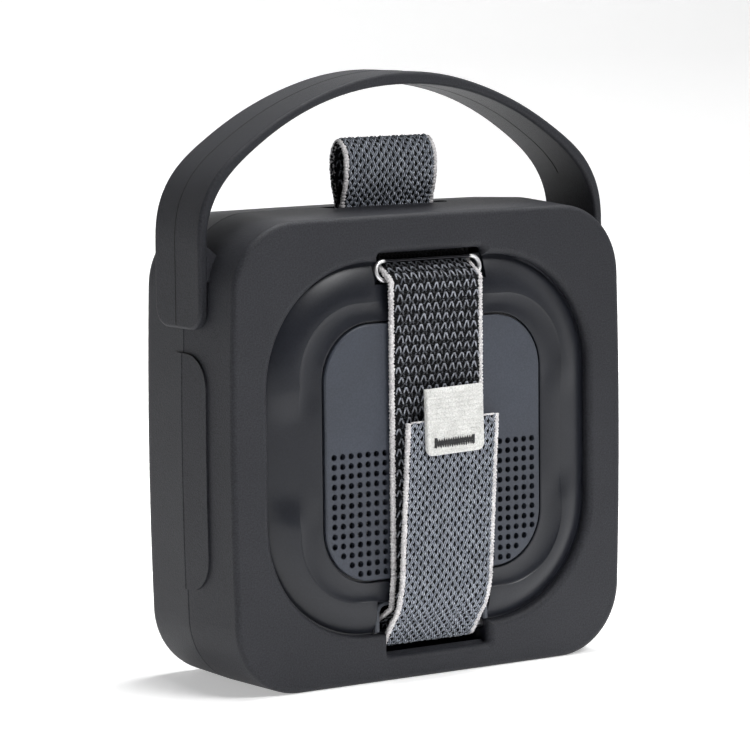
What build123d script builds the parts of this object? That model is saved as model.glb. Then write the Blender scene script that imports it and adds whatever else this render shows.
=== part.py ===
"""A small splash-proof speaker in a moulded silicone sleeve with a carrying handle and a woven hook-and-loop strap.

Frame: millimetres, +Z up, the sleeve stands on Z = 0. X runs across the speaker. The grille faces +Y and the strap
side faces -Y. The sleeve's mould parting plane is Y = 0.
"""

import os
from math import asin, cos, radians, sin

from build123d import *

# ---------------------------------------------------------------- driving sizes
# sleeve
SLEEVE_WIDTH = 112.4  # across the parting plane
SLEEVE_HEIGHT = 110.4
SLEEVE_DEPTH = 40.0
SLEEVE_CORNER = 17.0
SIDE_CROWN = 1.3  # how far the middle of a side stands out past its ends
TOP_CROWN = 0.4
DRAFT = 0.9  # how much smaller the sleeve is at its faces than at the parting plane, each side
WALL = 3.4
LIP = 2.3  # thickness of the lips that hold the speaker at the rear and the front
REAR_EDGE = 1.3
FRONT_EDGE = 3.6
SEAM = 0.24  # chamfer on each half at the mould parting line
WINDOW_Z = 54.9
WINDOW_WIDTH = 91.0
WINDOW_HEIGHT = 87.5
WINDOW_CORNER = 28.0
WINDOW_ROUNDING = 1.7
NOTCH_WIDTH = 30.0
LOWER_NOTCH_WIDTH = 29.2
LOWER_NOTCH_X = 1.4
NOTCH_TOP_Z = 100.6
NOTCH_BOTTOM_Z = 5.7
FRONT_WINDOW_WIDTH = 96.0
FRONT_WINDOW_HEIGHT = 93.0
FRONT_WINDOW_CORNER = 22.0
SLOT_WIDTH = 35.0
SLOT_DEPTH = 4.8

# raised pads on both sides of the sleeve
PAD_HEIGHT = 55.0
PAD_WIDTH = 19.6
PAD_RELIEF = 0.55
PAD_Z = 51.2
PAD_CORNER = 8.0

# handle
HANDLE_WIDTH = 20.0
HANDLE_REACH = 57.5  # half the width over the handle's legs
HANDLE_THICKNESS = 2.4
HANDLE_CROWN_THICKNESS = 3.0
HANDLE_TOP = 142.0
HANDLE_FOOT = 84.4
HANDLE_EDGE = 0.8
HANDLE_WEB_TOP_Z = 103.6  # short web between each leg and the corner of the sleeve
HANDLE_WEB_FOOT_Z = 101.6
HANDLE_WEB_REACH = 52.6
HANDLE_SEAM_Y = 0.75
HANDLE_SEAM = 0.4  # width and depth of the parting groove round the handle

# speaker inside the sleeve
GAP = 0.15  # clearance between neighbouring mouldings
BODY_HALF = SLEEVE_WIDTH / 2 - WALL - GAP
BODY_LOW = WALL + GAP
BODY_HIGH = SLEEVE_HEIGHT - WALL - GAP
BODY_CORNER = SLEEVE_CORNER - WALL
BODY_REAR = -SLEEVE_DEPTH / 2 + LIP + GAP
BODY_FRONT = SLEEVE_DEPTH / 2 - LIP - GAP
SKIN = 2.0  # thickness of the soft bumpers
SHELL = 1.8  # thickness of the hard housings
SHELL_INSET = SKIN + GAP
SHELL_REAR = BODY_REAR + SHELL_INSET
SHELL_FRONT = BODY_FRONT - SHELL_INSET
SPLIT = 0.1  # half the gap between the two halves of the speaker

# back plate and its holes
PLATE_WIDTH = 61.0
PLATE_HEIGHT = 60.0
PLATE_CORNER = 13.0
PLATE_Z = 54.4
PLATE_OUTER_Y = -20.3
PLATE_THICKNESS = 1.5
PLATE_GAP = 0.5
HOLE_RADIUS = 0.75
HOLE_PITCH_X = 2.35
HOLE_PITCH_Z = 2.32
HOLE_ROWS = 13
HOLE_SIDE_COLUMNS = 12  # on each side of the middle column
HOLE_LOW_Z = 26.3

# strap
STRAP_WIDTH = 26.4
STRAP_THICKNESS = 1.3
CHANNEL_WIDTH = 32.4
CHANNEL_FLOOR_Z = 99.0
CHANNEL_FRONT_Y = 3.4
BAND_SEAT_Z = 93.6  # foot of the recess where the band comes out over the ring
LOWER_CHANNEL_ROOF_Z = 18.6
LOWER_CHANNEL_FRONT_Y = -9.0
FLAP_TILT = 35.0  # how far the flap's root leans outwards from upright
FLAP_SKEW = 2.9  # how far the closed flap leans sideways
FLAP_FACE_Y = -24.0
RUN_Y = -21.2
FLAP_TOP_Z = 61.3
LOOP_AXIS_Z = 111.2
LOOP_TOP_Z = 126.5
LEG_Y = 1.25
BAR_RADIUS = 1.25
BAR_Y = -15.5
BAR_Z = 10.3
ANCHOR_Y = -3.15
ANCHOR_Z = 104.2
ANCHOR_RADIUS = 1.1
TAB_THICKNESS = 1.1
TAB_LENGTH = 15.8
TAB_WIDTH = 16.5
RING_WIRE = 0.5
RING_WIDTH = 30.4
RING_HEIGHT = 5.6
RING_Y = -18.2
RING_Z = 96.3
RING_TILT = 13.0  # the lower bar stands out
RING_SEAT_Y = -17.1
TRIM_WIRE = 0.6
TRIM_TOP_Z = 19.0
TRIM_FOOT_Z = 11.6
TRIM_Y = -18.3

# driver and grille
DRIVER_Z = 49.5
FLANGE_RADIUS = 28.0
CONE_RADIUS = 18.5
ROLL_RADIUS = 24.0
GRILLE_WIDTH = 88.0
GRILLE_HEIGHT = 74.0
GRILLE_CORNER = 18.0
GRILLE_THICKNESS = 1.2
MESH_RADIUS = 1.1
MESH_PITCH_X = 3.6
MESH_PITCH_Z = 3.1
MESH_ROWS = 11
MESH_COLUMNS = 12

# buttons in the strip above the grille
BUTTON_Z = 93.6
BUTTON_RADIUS = 3.7
BUTTON_FACE_Y = 18.3
BUTTON_SPACING = 15.0
ICON_HEIGHT = 0.2
LIGHT_X = 37.4

# bass radiator behind the back plate's holes
RADIATOR_Z = 40.2
RADIATOR_WIDTH = 48.0
RADIATOR_HEIGHT = 25.0

# charging socket
PORT_Y = -5.5
PORT_Z = 36.0
PORT_HEIGHT = 8.9
PORT_WIDTH = 3.2

SCREW_SPOTS = [(-42, 18), (42, 18), (-42, 91), (42, 91)]
REAR, FRONT = -1, 1


# ---------------------------------------------------------------- shared helpers
def at_depth(y):
    """The XZ plane at depth y. Its normal points to the rear, so a positive extrusion runs towards -Y."""
    return Plane.XZ.offset(-y)


def squircle(y, half_width, low, high, radius, crown=SIDE_CROWN, top_crown=TOP_CROWN):
    """A rounded square at depth y with gently convex sides and a flat base."""
    middle = (low + high) / 2
    side = half_width - crown
    with BuildSketch(at_depth(y)) as outline:
        with BuildLine():
            Line((-side, low), (side, low))
            ThreePointArc((side, low), (half_width, middle), (side, high - top_crown))
            ThreePointArc((side, high - top_crown), (0, high), (-side, high - top_crown))
            ThreePointArc((-side, high - top_crown), (-half_width, middle), (-side, low))
        make_face()
        fillet(outline.vertices(), radius)
    return outline.sketch


def body_outline(y, inset):
    """The speaker's own outline at depth y, moved inwards by inset."""
    radius = BODY_CORNER - inset * 0.8
    return squircle(y, BODY_HALF - inset, BODY_LOW + inset, BODY_HIGH - inset, radius)


def rounded(y, z, width, height, radius):
    """A rounded rectangle at depth y, centred on the speaker's middle line at height z."""
    with BuildSketch(at_depth(y)) as outline:
        with Locations((0, z)):
            RectangleRounded(width, height, radius)
    return outline.sketch


def disc(x, y, z, radius):
    """A circle at depth y."""
    with BuildSketch(at_depth(y)) as outline:
        with Locations((x, z)):
            Circle(radius)
    return outline.sketch


def forwards(face, length, mode=Mode.ADD, taper=0):
    """Extrudes a face from its own depth towards the grille side."""
    extrude(face, amount=-length, mode=mode, taper=taper)


def block(x_from, x_to, y_from, y_to, z_from, z_to, mode=Mode.ADD):
    """A plain block between two corners."""
    middle = ((x_from + x_to) / 2, (y_from + y_to) / 2, (z_from + z_to) / 2)
    with Locations(middle):
        Box(x_to - x_from, y_to - y_from, z_to - z_from, mode=mode)


def spun(profile, mode=Mode.ADD):
    """Revolves a closed profile of (radius, y) points about the driver's axis."""
    with BuildSketch(Plane.XY.offset(DRIVER_Z)) as section:
        with BuildLine():
            Polyline(*profile, close=True)
        make_face()
    revolve(section.sketch, axis=Axis((0, 0, DRIVER_Z), (0, 1, 0)), mode=mode)


def band_side(stretch, reach, steps=24):
    """One face line of a band, at a distance reach from a stretch of its centre line."""
    count = {GeomType.LINE: 1, GeomType.CIRCLE: 2}.get(stretch.geom_type, steps)
    spots = []
    for step in range(count + 1):
        spot = stretch @ (step / count)
        heading = stretch % (step / count)
        spots.append((spot.X - heading.Y * reach, spot.Y + heading.X * reach))
    return spots


def band(plane, stretches, width, round_start=False, round_end=False):
    """A woven band that follows stretches drawn in a side-on plane, with its width across that plane."""
    reach = STRAP_THICKNESS / 2
    ends = []
    with BuildSketch(plane) as section:
        with BuildLine():
            for side in (reach, -reach):
                lines = [band_side(stretch, side) for stretch in stretches]
                for spots in lines:
                    if len(spots) == 2:
                        Line(*spots)
                    elif len(spots) == 3:
                        ThreePointArc(*spots)
                    else:
                        Spline(*spots)
                ends.append((lines[0][0], lines[-1][-1]))
            start = stretches[0] @ 0 - (stretches[0] % 0) * reach
            finish_spot = stretches[-1] @ 1 + (stretches[-1] % 1) * reach
            if round_start:
                ThreePointArc(ends[0][0], start, ends[1][0])
            else:
                Line(ends[0][0], ends[1][0])
            if round_end:
                ThreePointArc(ends[0][1], finish_spot, ends[1][1])
            else:
                Line(ends[0][1], ends[1][1])
        make_face()
    extrude(section.sketch, amount=width / 2, both=True)


def finish(piece, name):
    """Labels a finished piece and writes its STEP file."""
    piece.part.label = name
    export_step(piece.part, f"parts/{name}.step")


os.makedirs("parts", exist_ok=True)


# ---------------------------------------------------------------- silicone sleeve
def sleeve_half(side, grow=0.0):
    """Half of the sleeve's outside, from the parting plane to its rear or its front face."""
    face_y = side * SLEEVE_DEPTH / 2
    widest = SLEEVE_WIDTH / 2 + grow
    seam = squircle(0, widest - SEAM, 0, SLEEVE_HEIGHT - SEAM, SLEEVE_CORNER)
    middle = squircle(side * SEAM, widest, 0, SLEEVE_HEIGHT, SLEEVE_CORNER)
    face = squircle(face_y, widest - DRAFT, 0, SLEEVE_HEIGHT - DRAFT, SLEEVE_CORNER)
    loft([middle, face], ruled=True)
    loft([seam, middle], ruled=True)


def flared(z, width, height, corner, x=0):
    """The space of an opening in the sleeve's rear face, with a soft rim."""
    reach = SLEEVE_WIDTH / 2 + 5
    with BuildPart() as space:
        block(-reach, reach, -SLEEVE_DEPTH, -SLEEVE_DEPTH / 2, -5, SLEEVE_HEIGHT + 5)
        forwards(rounded(-SLEEVE_DEPTH, z, width, height, corner), SLEEVE_DEPTH)
        rim_face = space.faces().filter_by(Axis.Y).sort_by(Axis.Y)[1]
        fillet(rim_face.inner_wires()[0].edges(), WINDOW_ROUNDING)
    return Location((x, 0, 0)) * space.part


def arch(half):
    """A smooth curve over the handle, from half of its points."""
    other_half = [(-x, z) for x, z in half]
    upright = [(0, 1), (0, -1)]
    return Spline(*other_half, *reversed(half[:-1]), tangents=upright, tangent_scalars=[1, 1])


def handle_side():
    """The handle seen from the front: an arch with two upright legs."""
    inner_reach = HANDLE_REACH - HANDLE_THICKNESS
    inner_top = HANDLE_TOP - HANDLE_CROWN_THICKNESS
    with BuildSketch(at_depth(0)) as outline:
        with BuildLine():
            outer = arch(
                [
                    (HANDLE_REACH, 104.0),
                    (56.8, 111.0),
                    (52.6, 119.5),
                    (44.6, 126.5),
                    (34.2, 132.9),
                    (23.2, 137.7),
                    (11.6, 140.9),
                    (0, HANDLE_TOP),
                ]
            )
            inner = arch(
                [
                    (inner_reach, 104.0),
                    (54.3, 110.4),
                    (50.4, 117.8),
                    (42.6, 124.9),
                    (32.6, 131.2),
                    (22.2, 135.6),
                    (11.2, 138.2),
                    (0, inner_top),
                ]
            )
            for end in (0, 1):
                side = 2 * end - 1
                foot = (side * HANDLE_REACH, HANDLE_FOOT)
                inner_foot = (side * inner_reach, HANDLE_FOOT)
                Polyline(outer @ end, foot, inner_foot, inner @ end)
        make_face()
    return outline.sketch


with BuildPart() as pads:
    sleeve_half(REAR, PAD_RELIEF)
    sleeve_half(FRONT, PAD_RELIEF)
    with BuildSketch(Plane.YZ):
        with Locations((0, PAD_Z)):
            RectangleRounded(PAD_WIDTH, PAD_HEIGHT, PAD_CORNER)
    extrude(amount=SLEEVE_WIDTH, both=True, mode=Mode.INTERSECT)

with BuildPart() as handle:
    extrude(handle_side(), amount=HANDLE_WIDTH / 2, both=True)
    foot_edges = handle.edges().filter_by(Axis.X).group_by(Axis.Z)[0]
    fillet(foot_edges, 5.0)
    rims = handle.faces().filter_by(Axis.Y).edges()
    fillet(rims, HANDLE_EDGE)
    with BuildSketch(at_depth(HANDLE_SEAM_Y - HANDLE_SEAM / 2)) as seam_ring:
        add(handle_side())
        add(offset(handle_side(), amount=-HANDLE_SEAM), mode=Mode.SUBTRACT)
    forwards(seam_ring.sketch, HANDLE_SEAM, Mode.SUBTRACT)

with BuildPart() as webs:
    with BuildSketch(at_depth(0)):
        with BuildLine():
            Polyline(
                (HANDLE_REACH - 1.5, HANDLE_WEB_TOP_Z),
                (HANDLE_REACH - HANDLE_THICKNESS, HANDLE_WEB_TOP_Z),
                (HANDLE_WEB_REACH, HANDLE_WEB_FOOT_Z),
                (HANDLE_WEB_REACH, HANDLE_WEB_FOOT_Z - 6),
                (HANDLE_REACH - 1.5, HANDLE_WEB_FOOT_Z - 6),
                close=True,
            )
        make_face()
        mirror(about=Plane.YZ)
    extrude(amount=HANDLE_WIDTH / 2 - 0.3, both=True)

halves = []
for side in (REAR, FRONT):
    with BuildPart() as half:
        sleeve_half(side)
        face = half.faces().sort_by(Axis.Y)[0 if side == REAR else -1]
        fillet(face.edges(), REAR_EDGE if side == REAR else FRONT_EDGE)
    halves.append(half)

with BuildPart() as silicone_case:
    add(halves[0].part)
    add(halves[1].part)
    add(pads.part)
    add(handle.part)
    add(webs.part)
    cavity_rear = -SLEEVE_DEPTH / 2 + LIP
    forwards(body_outline(cavity_rear, -GAP), SLEEVE_DEPTH - 2 * LIP, Mode.SUBTRACT)
    add(flared(WINDOW_Z, WINDOW_WIDTH, WINDOW_HEIGHT, WINDOW_CORNER), mode=Mode.SUBTRACT)
    front_window = rounded(0, WINDOW_Z, FRONT_WINDOW_WIDTH, FRONT_WINDOW_HEIGHT, FRONT_WINDOW_CORNER)
    forwards(front_window, SLEEVE_DEPTH, Mode.SUBTRACT)
    notch_height = NOTCH_TOP_Z - WINDOW_Z
    notch_z = (NOTCH_TOP_Z + WINDOW_Z) / 2
    add(flared(notch_z, NOTCH_WIDTH, notch_height, 1.2), mode=Mode.SUBTRACT)
    notch_height = WINDOW_Z - NOTCH_BOTTOM_Z
    notch_z = (WINDOW_Z + NOTCH_BOTTOM_Z) / 2
    add(flared(notch_z, LOWER_NOTCH_WIDTH, notch_height, 1.2, LOWER_NOTCH_X), mode=Mode.SUBTRACT)
    rib_end = CHANNEL_WIDTH / 2 - 0.3
    rib_rear = -SLEEVE_DEPTH / 2 + LIP - 0.1
    with BuildSketch(Plane.YZ.offset(-rib_end)):
        with BuildLine():
            Polyline(
                (rib_rear, WALL - 0.4),
                (rib_rear, NOTCH_BOTTOM_Z),
                (rib_rear + 0.5, NOTCH_BOTTOM_Z + 0.2),
                (rib_rear + 1.4, NOTCH_BOTTOM_Z + 0.6),
                (rib_rear + 1.7, WALL - 0.4),
                close=True,
            )
        make_face()
    extrude(amount=2 * rib_end)
    with BuildSketch(Plane.XY.offset(SLEEVE_HEIGHT - 2 * WALL)):
        RectangleRounded(SLOT_WIDTH, SLOT_DEPTH, 1.6)
    extrude(amount=4 * WALL, mode=Mode.SUBTRACT)
    with BuildSketch(Plane.YZ.offset(SLEEVE_WIDTH / 2 - 2 * WALL)):
        with Locations((PORT_Y, PORT_Z)):
            RectangleRounded(6.6, 13.0, 3.0)
    extrude(amount=4 * WALL, mode=Mode.SUBTRACT)
finish(silicone_case, "silicone_case")


# ---------------------------------------------------------------- speaker mouldings
def strap_channels():
    """Removes the room that the strap needs above and below the back plate."""
    half = CHANNEL_WIDTH / 2
    above = SLEEVE_HEIGHT
    block(-half, half, -SLEEVE_DEPTH, CHANNEL_FRONT_Y, CHANNEL_FLOOR_Z, above, Mode.SUBTRACT)
    beside_band = STRAP_WIDTH / 2 + 0.5
    block(-beside_band, beside_band, -SLEEVE_DEPTH, SHELL_REAR - 0.02, BAND_SEAT_Z, above, Mode.SUBTRACT)
    block(-beside_band, beside_band, -SLEEVE_DEPTH, -14.9, BAND_SEAT_Z + 2.7, above, Mode.SUBTRACT)
    beside_ring = RING_WIDTH / 2 + 0.2
    ring_floor = RING_Z - RING_HEIGHT / 2 - 0.2
    block(-beside_ring, beside_ring, -SLEEVE_DEPTH, RING_SEAT_Y, ring_floor, above, Mode.SUBTRACT)
    block(-half, half, -SLEEVE_DEPTH, LOWER_CHANNEL_FRONT_Y, 0, LOWER_CHANNEL_ROOF_Z, Mode.SUBTRACT)
    trim_roof = TRIM_TOP_Z + 0.15
    block(-half, half, -SLEEVE_DEPTH, SHELL_REAR - 0.02, 0, trim_roof, Mode.SUBTRACT)


def port_opening(size):
    """Cuts the charging socket's opening through the right-hand side wall."""
    with BuildSketch(Plane.YZ.offset(BODY_HALF - 12)) as opening:
        with Locations((PORT_Y, PORT_Z)):
            RectangleRounded(PORT_WIDTH + size, PORT_HEIGHT + size, 1.5 + size / 3)
    extrude(opening.sketch, amount=24, mode=Mode.SUBTRACT)


with BuildPart() as rear_bumper:
    forwards(body_outline(BODY_REAR, 0), -BODY_REAR - SPLIT)
    window_edge = rounded(BODY_REAR, WINDOW_Z, WINDOW_WIDTH - 0.6, WINDOW_HEIGHT - 0.6, WINDOW_CORNER - 0.3)
    shoulder_edge = rounded(-19.2, WINDOW_Z, 77.5, 74.5, 22.0)
    plate_edge = rounded(-19.9, PLATE_Z, PLATE_WIDTH + 2.6, PLATE_HEIGHT + 2.6, 14.3)
    loft([window_edge, shoulder_edge], ruled=True)
    loft([shoulder_edge, plate_edge], ruled=True)
    forwards(body_outline(SHELL_REAR - GAP, SKIN), SLEEVE_DEPTH, Mode.SUBTRACT)
    pocket_floor = PLATE_OUTER_Y + PLATE_THICKNESS
    pocket_width = PLATE_WIDTH + 2 * PLATE_GAP
    pocket_height = PLATE_HEIGHT + 2 * PLATE_GAP
    pocket = rounded(-SLEEVE_DEPTH, PLATE_Z, pocket_width, pocket_height, PLATE_CORNER + PLATE_GAP)
    forwards(pocket, SLEEVE_DEPTH + pocket_floor, Mode.SUBTRACT)
    vent = rounded(-SLEEVE_DEPTH, RADIATOR_Z, RADIATOR_WIDTH + 8, RADIATOR_HEIGHT + 5, 9)
    forwards(vent, SLEEVE_DEPTH - 5, Mode.SUBTRACT)
    strap_channels()
    port_opening(2.0)
finish(rear_bumper, "rear_bumper")

with BuildPart() as rear_plate:
    plate_face = rounded(PLATE_OUTER_Y, PLATE_Z, PLATE_WIDTH, PLATE_HEIGHT, PLATE_CORNER)
    forwards(plate_face, PLATE_THICKNESS)
    chamfer(rear_plate.faces().sort_by(Axis.Y)[0].edges(), 0.3)
    with BuildSketch(at_depth(-SLEEVE_DEPTH)) as holes:
        for column in range(-HOLE_SIDE_COLUMNS, HOLE_SIDE_COLUMNS + 1):
            from_edge = HOLE_SIDE_COLUMNS - abs(column)
            missing = max(0, 3 - from_edge)
            for row in range(missing, HOLE_ROWS):
                with Locations((column * HOLE_PITCH_X, HOLE_LOW_Z + row * HOLE_PITCH_Z)):
                    Circle(HOLE_RADIUS)
    forwards(holes.sketch, SLEEVE_DEPTH, Mode.SUBTRACT)
finish(rear_plate, "rear_plate")

with BuildPart() as seal_groove:
    forwards(body_outline(-0.65, SHELL_INSET + 0.4), 1.3)
    forwards(body_outline(-0.65, SHELL_INSET + 1.2), 1.3, Mode.SUBTRACT)

with BuildPart() as rear_housing:
    forwards(body_outline(SHELL_REAR, SHELL_INSET), -SHELL_REAR - SPLIT)
    forwards(body_outline(SHELL_REAR + SHELL, SHELL_INSET + SHELL), SLEEVE_DEPTH, Mode.SUBTRACT)
    liner = CHANNEL_WIDTH / 2 + SHELL
    top = BODY_HIGH - SHELL_INSET - 0.5
    block(-liner, liner, SHELL_REAR, -SPLIT, CHANNEL_FLOOR_Z - SHELL, top)
    roof = LOWER_CHANNEL_ROOF_Z + SHELL
    block(-liner, liner, SHELL_REAR, LOWER_CHANNEL_FRONT_Y + SHELL, BODY_LOW + SHELL_INSET, roof)
    for x, z in SCREW_SPOTS:
        forwards(disc(x, SHELL_REAR, z, 3.4), -SHELL_REAR - SPLIT)
    strap_channels()
    forwards(rounded(-SLEEVE_DEPTH, RADIATOR_Z, RADIATOR_WIDTH, RADIATOR_HEIGHT, 7), 30, Mode.SUBTRACT)
    for x, z in SCREW_SPOTS:
        forwards(disc(x, -SLEEVE_DEPTH, z, 1.4), SLEEVE_DEPTH, Mode.SUBTRACT)
        forwards(disc(x, -SLEEVE_DEPTH, z, 2.5), SLEEVE_DEPTH - 10, Mode.SUBTRACT)
    port_opening(0.3)
    add(seal_groove.part, mode=Mode.SUBTRACT)
finish(rear_housing, "rear_housing")

with BuildPart() as front_housing:
    forwards(body_outline(SPLIT, SHELL_INSET), SHELL_FRONT - SPLIT)
    forwards(body_outline(-SPLIT, SHELL_INSET + SHELL), SHELL_FRONT - SHELL + SPLIT, Mode.SUBTRACT)
    block(-liner, liner, SPLIT, CHANNEL_FRONT_Y + SHELL, CHANNEL_FLOOR_Z - SHELL, top)
    for x, z in SCREW_SPOTS:
        forwards(disc(x, SPLIT, z, 3.0), SHELL_FRONT - SPLIT)
    strap_channels()
    forwards(disc(0, 0, DRIVER_Z, ROLL_RADIUS + 1.0), SLEEVE_DEPTH, Mode.SUBTRACT)
    for x, z in SCREW_SPOTS:
        forwards(disc(x, -1, z, 1.0), 11, Mode.SUBTRACT)
    for place in range(-2, 3):
        forwards(disc(place * BUTTON_SPACING, 0, BUTTON_Z, 2.0), SLEEVE_DEPTH, Mode.SUBTRACT)
    for x in (-LIGHT_X, LIGHT_X):
        forwards(disc(x, 0, BUTTON_Z, 1.15), SLEEVE_DEPTH, Mode.SUBTRACT)
    add(seal_groove.part, mode=Mode.SUBTRACT)
finish(front_housing, "front_housing")

with BuildPart() as housing_seal:
    forwards(body_outline(-0.6, SHELL_INSET + 0.45), 1.2)
    forwards(body_outline(-0.6, SHELL_INSET + 1.15), 1.2, Mode.SUBTRACT)
    strap_channels()
finish(housing_seal, "housing_seal")

with BuildPart() as front_bumper:
    forwards(body_outline(SPLIT, 0), BODY_FRONT - SPLIT)
    front_edge = rounded(BODY_FRONT, WINDOW_Z, FRONT_WINDOW_WIDTH - 0.8, FRONT_WINDOW_HEIGHT - 0.8, 21.6)
    forwards(front_edge, 0.6)
    chamfer(front_bumper.faces().sort_by(Axis.Y)[-1].edges(), 0.4)
    forwards(body_outline(-1, SKIN), SHELL_FRONT + GAP + 1, Mode.SUBTRACT)
    opening = rounded(0, DRIVER_Z, GRILLE_WIDTH + 0.6, GRILLE_HEIGHT + 0.6, GRILLE_CORNER + 0.3)
    forwards(opening, SLEEVE_DEPTH, Mode.SUBTRACT)
    for place in range(-2, 3):
        forwards(disc(place * BUTTON_SPACING, 0, BUTTON_Z, BUTTON_RADIUS + 0.35), SLEEVE_DEPTH, Mode.SUBTRACT)
        seat = disc(place * BUTTON_SPACING, 0, BUTTON_Z, BUTTON_RADIUS + 1.1)
        forwards(seat, BODY_FRONT - 0.2, Mode.SUBTRACT)
    for x in (-LIGHT_X, LIGHT_X):
        forwards(disc(x, 0, BUTTON_Z, 1.15), SLEEVE_DEPTH, Mode.SUBTRACT)
    strap_channels()
finish(front_bumper, "front_bumper")

with BuildPart() as front_grille:
    forwards(rounded(16.6, DRIVER_Z, GRILLE_WIDTH, GRILLE_HEIGHT, GRILLE_CORNER), GRILLE_THICKNESS + 0.9)
    fillet(front_grille.faces().sort_by(Axis.Y)[-1].edges(), 1.2)
    inside_grille = rounded(0, DRIVER_Z, GRILLE_WIDTH - 2.4, GRILLE_HEIGHT - 2.4, GRILLE_CORNER - 1.2)
    forwards(inside_grille, 18.7 - GRILLE_THICKNESS, Mode.SUBTRACT)
    with BuildSketch(at_depth(0)) as mesh:
        for row in range(-MESH_ROWS, MESH_ROWS + 1):
            for column in range(-MESH_COLUMNS, MESH_COLUMNS + 1):
                x = (column + 0.5 * (row % 2)) * MESH_PITCH_X
                z = row * MESH_PITCH_Z
                corner_x = max(0, abs(x) - (GRILLE_WIDTH / 2 - GRILLE_CORNER))
                corner_z = max(0, abs(z) - (GRILLE_HEIGHT / 2 - GRILLE_CORNER))
                if corner_x**2 + corner_z**2 < (GRILLE_CORNER - 3.6) ** 2:
                    with Locations((x, DRIVER_Z + z)):
                        Circle(MESH_RADIUS)
    forwards(mesh.sketch, SLEEVE_DEPTH, Mode.SUBTRACT)
finish(front_grille, "front_grille")


# ---------------------------------------------------------------- driver
FLANGE_Y = SHELL_FRONT - SHELL - 0.1  # front face of the driver's flange, against the inside of the baffle
with BuildPart() as driver_frame:
    spun(
        [
            (ROLL_RADIUS + 0.2, FLANGE_Y),
            (FLANGE_RADIUS, FLANGE_Y),
            (FLANGE_RADIUS, FLANGE_Y - 1.4),
            (ROLL_RADIUS + 1.6, FLANGE_Y - 1.4),
            (18.0, 1.2),
            (18.0, -0.4),
            (7.6, -0.4),
            (7.6, 1.0),
            (16.8, 1.0),
            (ROLL_RADIUS + 0.2, FLANGE_Y - 2.4),
        ]
    )
    with BuildSketch(at_depth(-2)) as windows:
        with Locations((0, DRIVER_Z)):
            with PolarLocations(20.6, 6):
                SlotOverall(9, 5, rotation=90)
    forwards(windows.sketch, 11, Mode.SUBTRACT)
finish(driver_frame, "driver_frame")

with BuildPart() as driver_magnet:
    spun([(0, -10.2), (15.5, -10.2), (15.5, -0.5), (7.5, -0.5), (7.5, -7.5), (0, -7.5)])
    spun([(0, -7.6), (5.6, -7.6), (5.6, 0.2), (0, 0.2)])
finish(driver_magnet, "driver_magnet")

with BuildPart() as voice_coil:
    spun([(6.2, -2.6), (7.0, -2.6), (7.0, 5.4), (6.2, 5.4)])
finish(voice_coil, "voice_coil")

with BuildPart() as driver_spider:
    spun([(7.3, 3.4), (10.0, 3.8), (13.0, 3.2), (16.4, 3.6), (16.4, 3.0), (13.0, 2.6), (10.0, 3.2), (7.3, 2.8)])
finish(driver_spider, "driver_spider")

with BuildPart() as driver_cone:
    spun([(6.2, 5.4), (7.2, 5.4), (CONE_RADIUS, 10.2), (CONE_RADIUS, 10.9), (6.2, 6.1)])
finish(driver_cone, "driver_cone")



def dome_arc(rim_radius, rim_y, apex_y):
    """An arc from a dome's apex on the axis down to its rim, centred on the axis."""
    rise = apex_y - rim_y
    radius = (rim_radius**2 + rise**2) / (2 * rise)
    half_angle = asin(rim_radius / radius) / 2
    middle = (radius * sin(half_angle), apex_y - radius * (1 - cos(half_angle)))
    ThreePointArc((0, apex_y), middle, (rim_radius, rim_y))


with BuildPart() as dust_cap:
    with BuildSketch(Plane.XY.offset(DRIVER_Z)) as cap_section:
        with BuildLine():
            dome_arc(8.2, 7.2, 10.6)
            Line((8.2, 7.2), (7.6, 6.8))
            dome_arc(7.6, 6.8, 10.0)
            Line((0, 10.0), (0, 10.6))
        make_face()
    revolve(cap_section.sketch, axis=Axis((0, 0, DRIVER_Z), (0, 1, 0)))
finish(dust_cap, "dust_cap")

with BuildPart() as driver_surround:
    with BuildSketch(Plane.XY.offset(DRIVER_Z)) as roll_section:
        with BuildLine():
            ThreePointArc((CONE_RADIUS + 0.4, 10.6), (CONE_RADIUS + 2.6, 12.6), (CONE_RADIUS + 4.8, 10.6))
            Line((CONE_RADIUS + 4.8, 10.6), (CONE_RADIUS + 4.3, 10.6))
            ThreePointArc((CONE_RADIUS + 4.3, 10.6), (CONE_RADIUS + 2.6, 12.1), (CONE_RADIUS + 0.9, 10.6))
            Line((CONE_RADIUS + 0.9, 10.6), (CONE_RADIUS + 0.4, 10.6))
        make_face()
    revolve(roll_section.sketch, axis=Axis((0, 0, DRIVER_Z), (0, 1, 0)))
finish(driver_surround, "driver_surround")

# ---------------------------------------------------------------- bass radiator behind the back plate
with BuildPart() as radiator_frame:
    frame_width = RADIATOR_WIDTH + 5
    frame_height = RADIATOR_HEIGHT + 3.4
    forwards(rounded(SHELL_REAR + SHELL + 0.1, RADIATOR_Z, frame_width, frame_height, 8.5), 1.4)
    forwards(rounded(-20, RADIATOR_Z, RADIATOR_WIDTH - 2, RADIATOR_HEIGHT - 2, 6.5), 30, Mode.SUBTRACT)
finish(radiator_frame, "radiator_frame")

with BuildPart() as radiator_surround:
    radiator_y = SHELL_REAR + SHELL - 0.6
    forwards(rounded(radiator_y, RADIATOR_Z, RADIATOR_WIDTH - 0.8, RADIATOR_HEIGHT - 0.8, 6.8), 0.6)
    forwards(rounded(-20, RADIATOR_Z, RADIATOR_WIDTH - 9.2, RADIATOR_HEIGHT - 9.2, 3.6), 30, Mode.SUBTRACT)
finish(radiator_surround, "radiator_surround")

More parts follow.
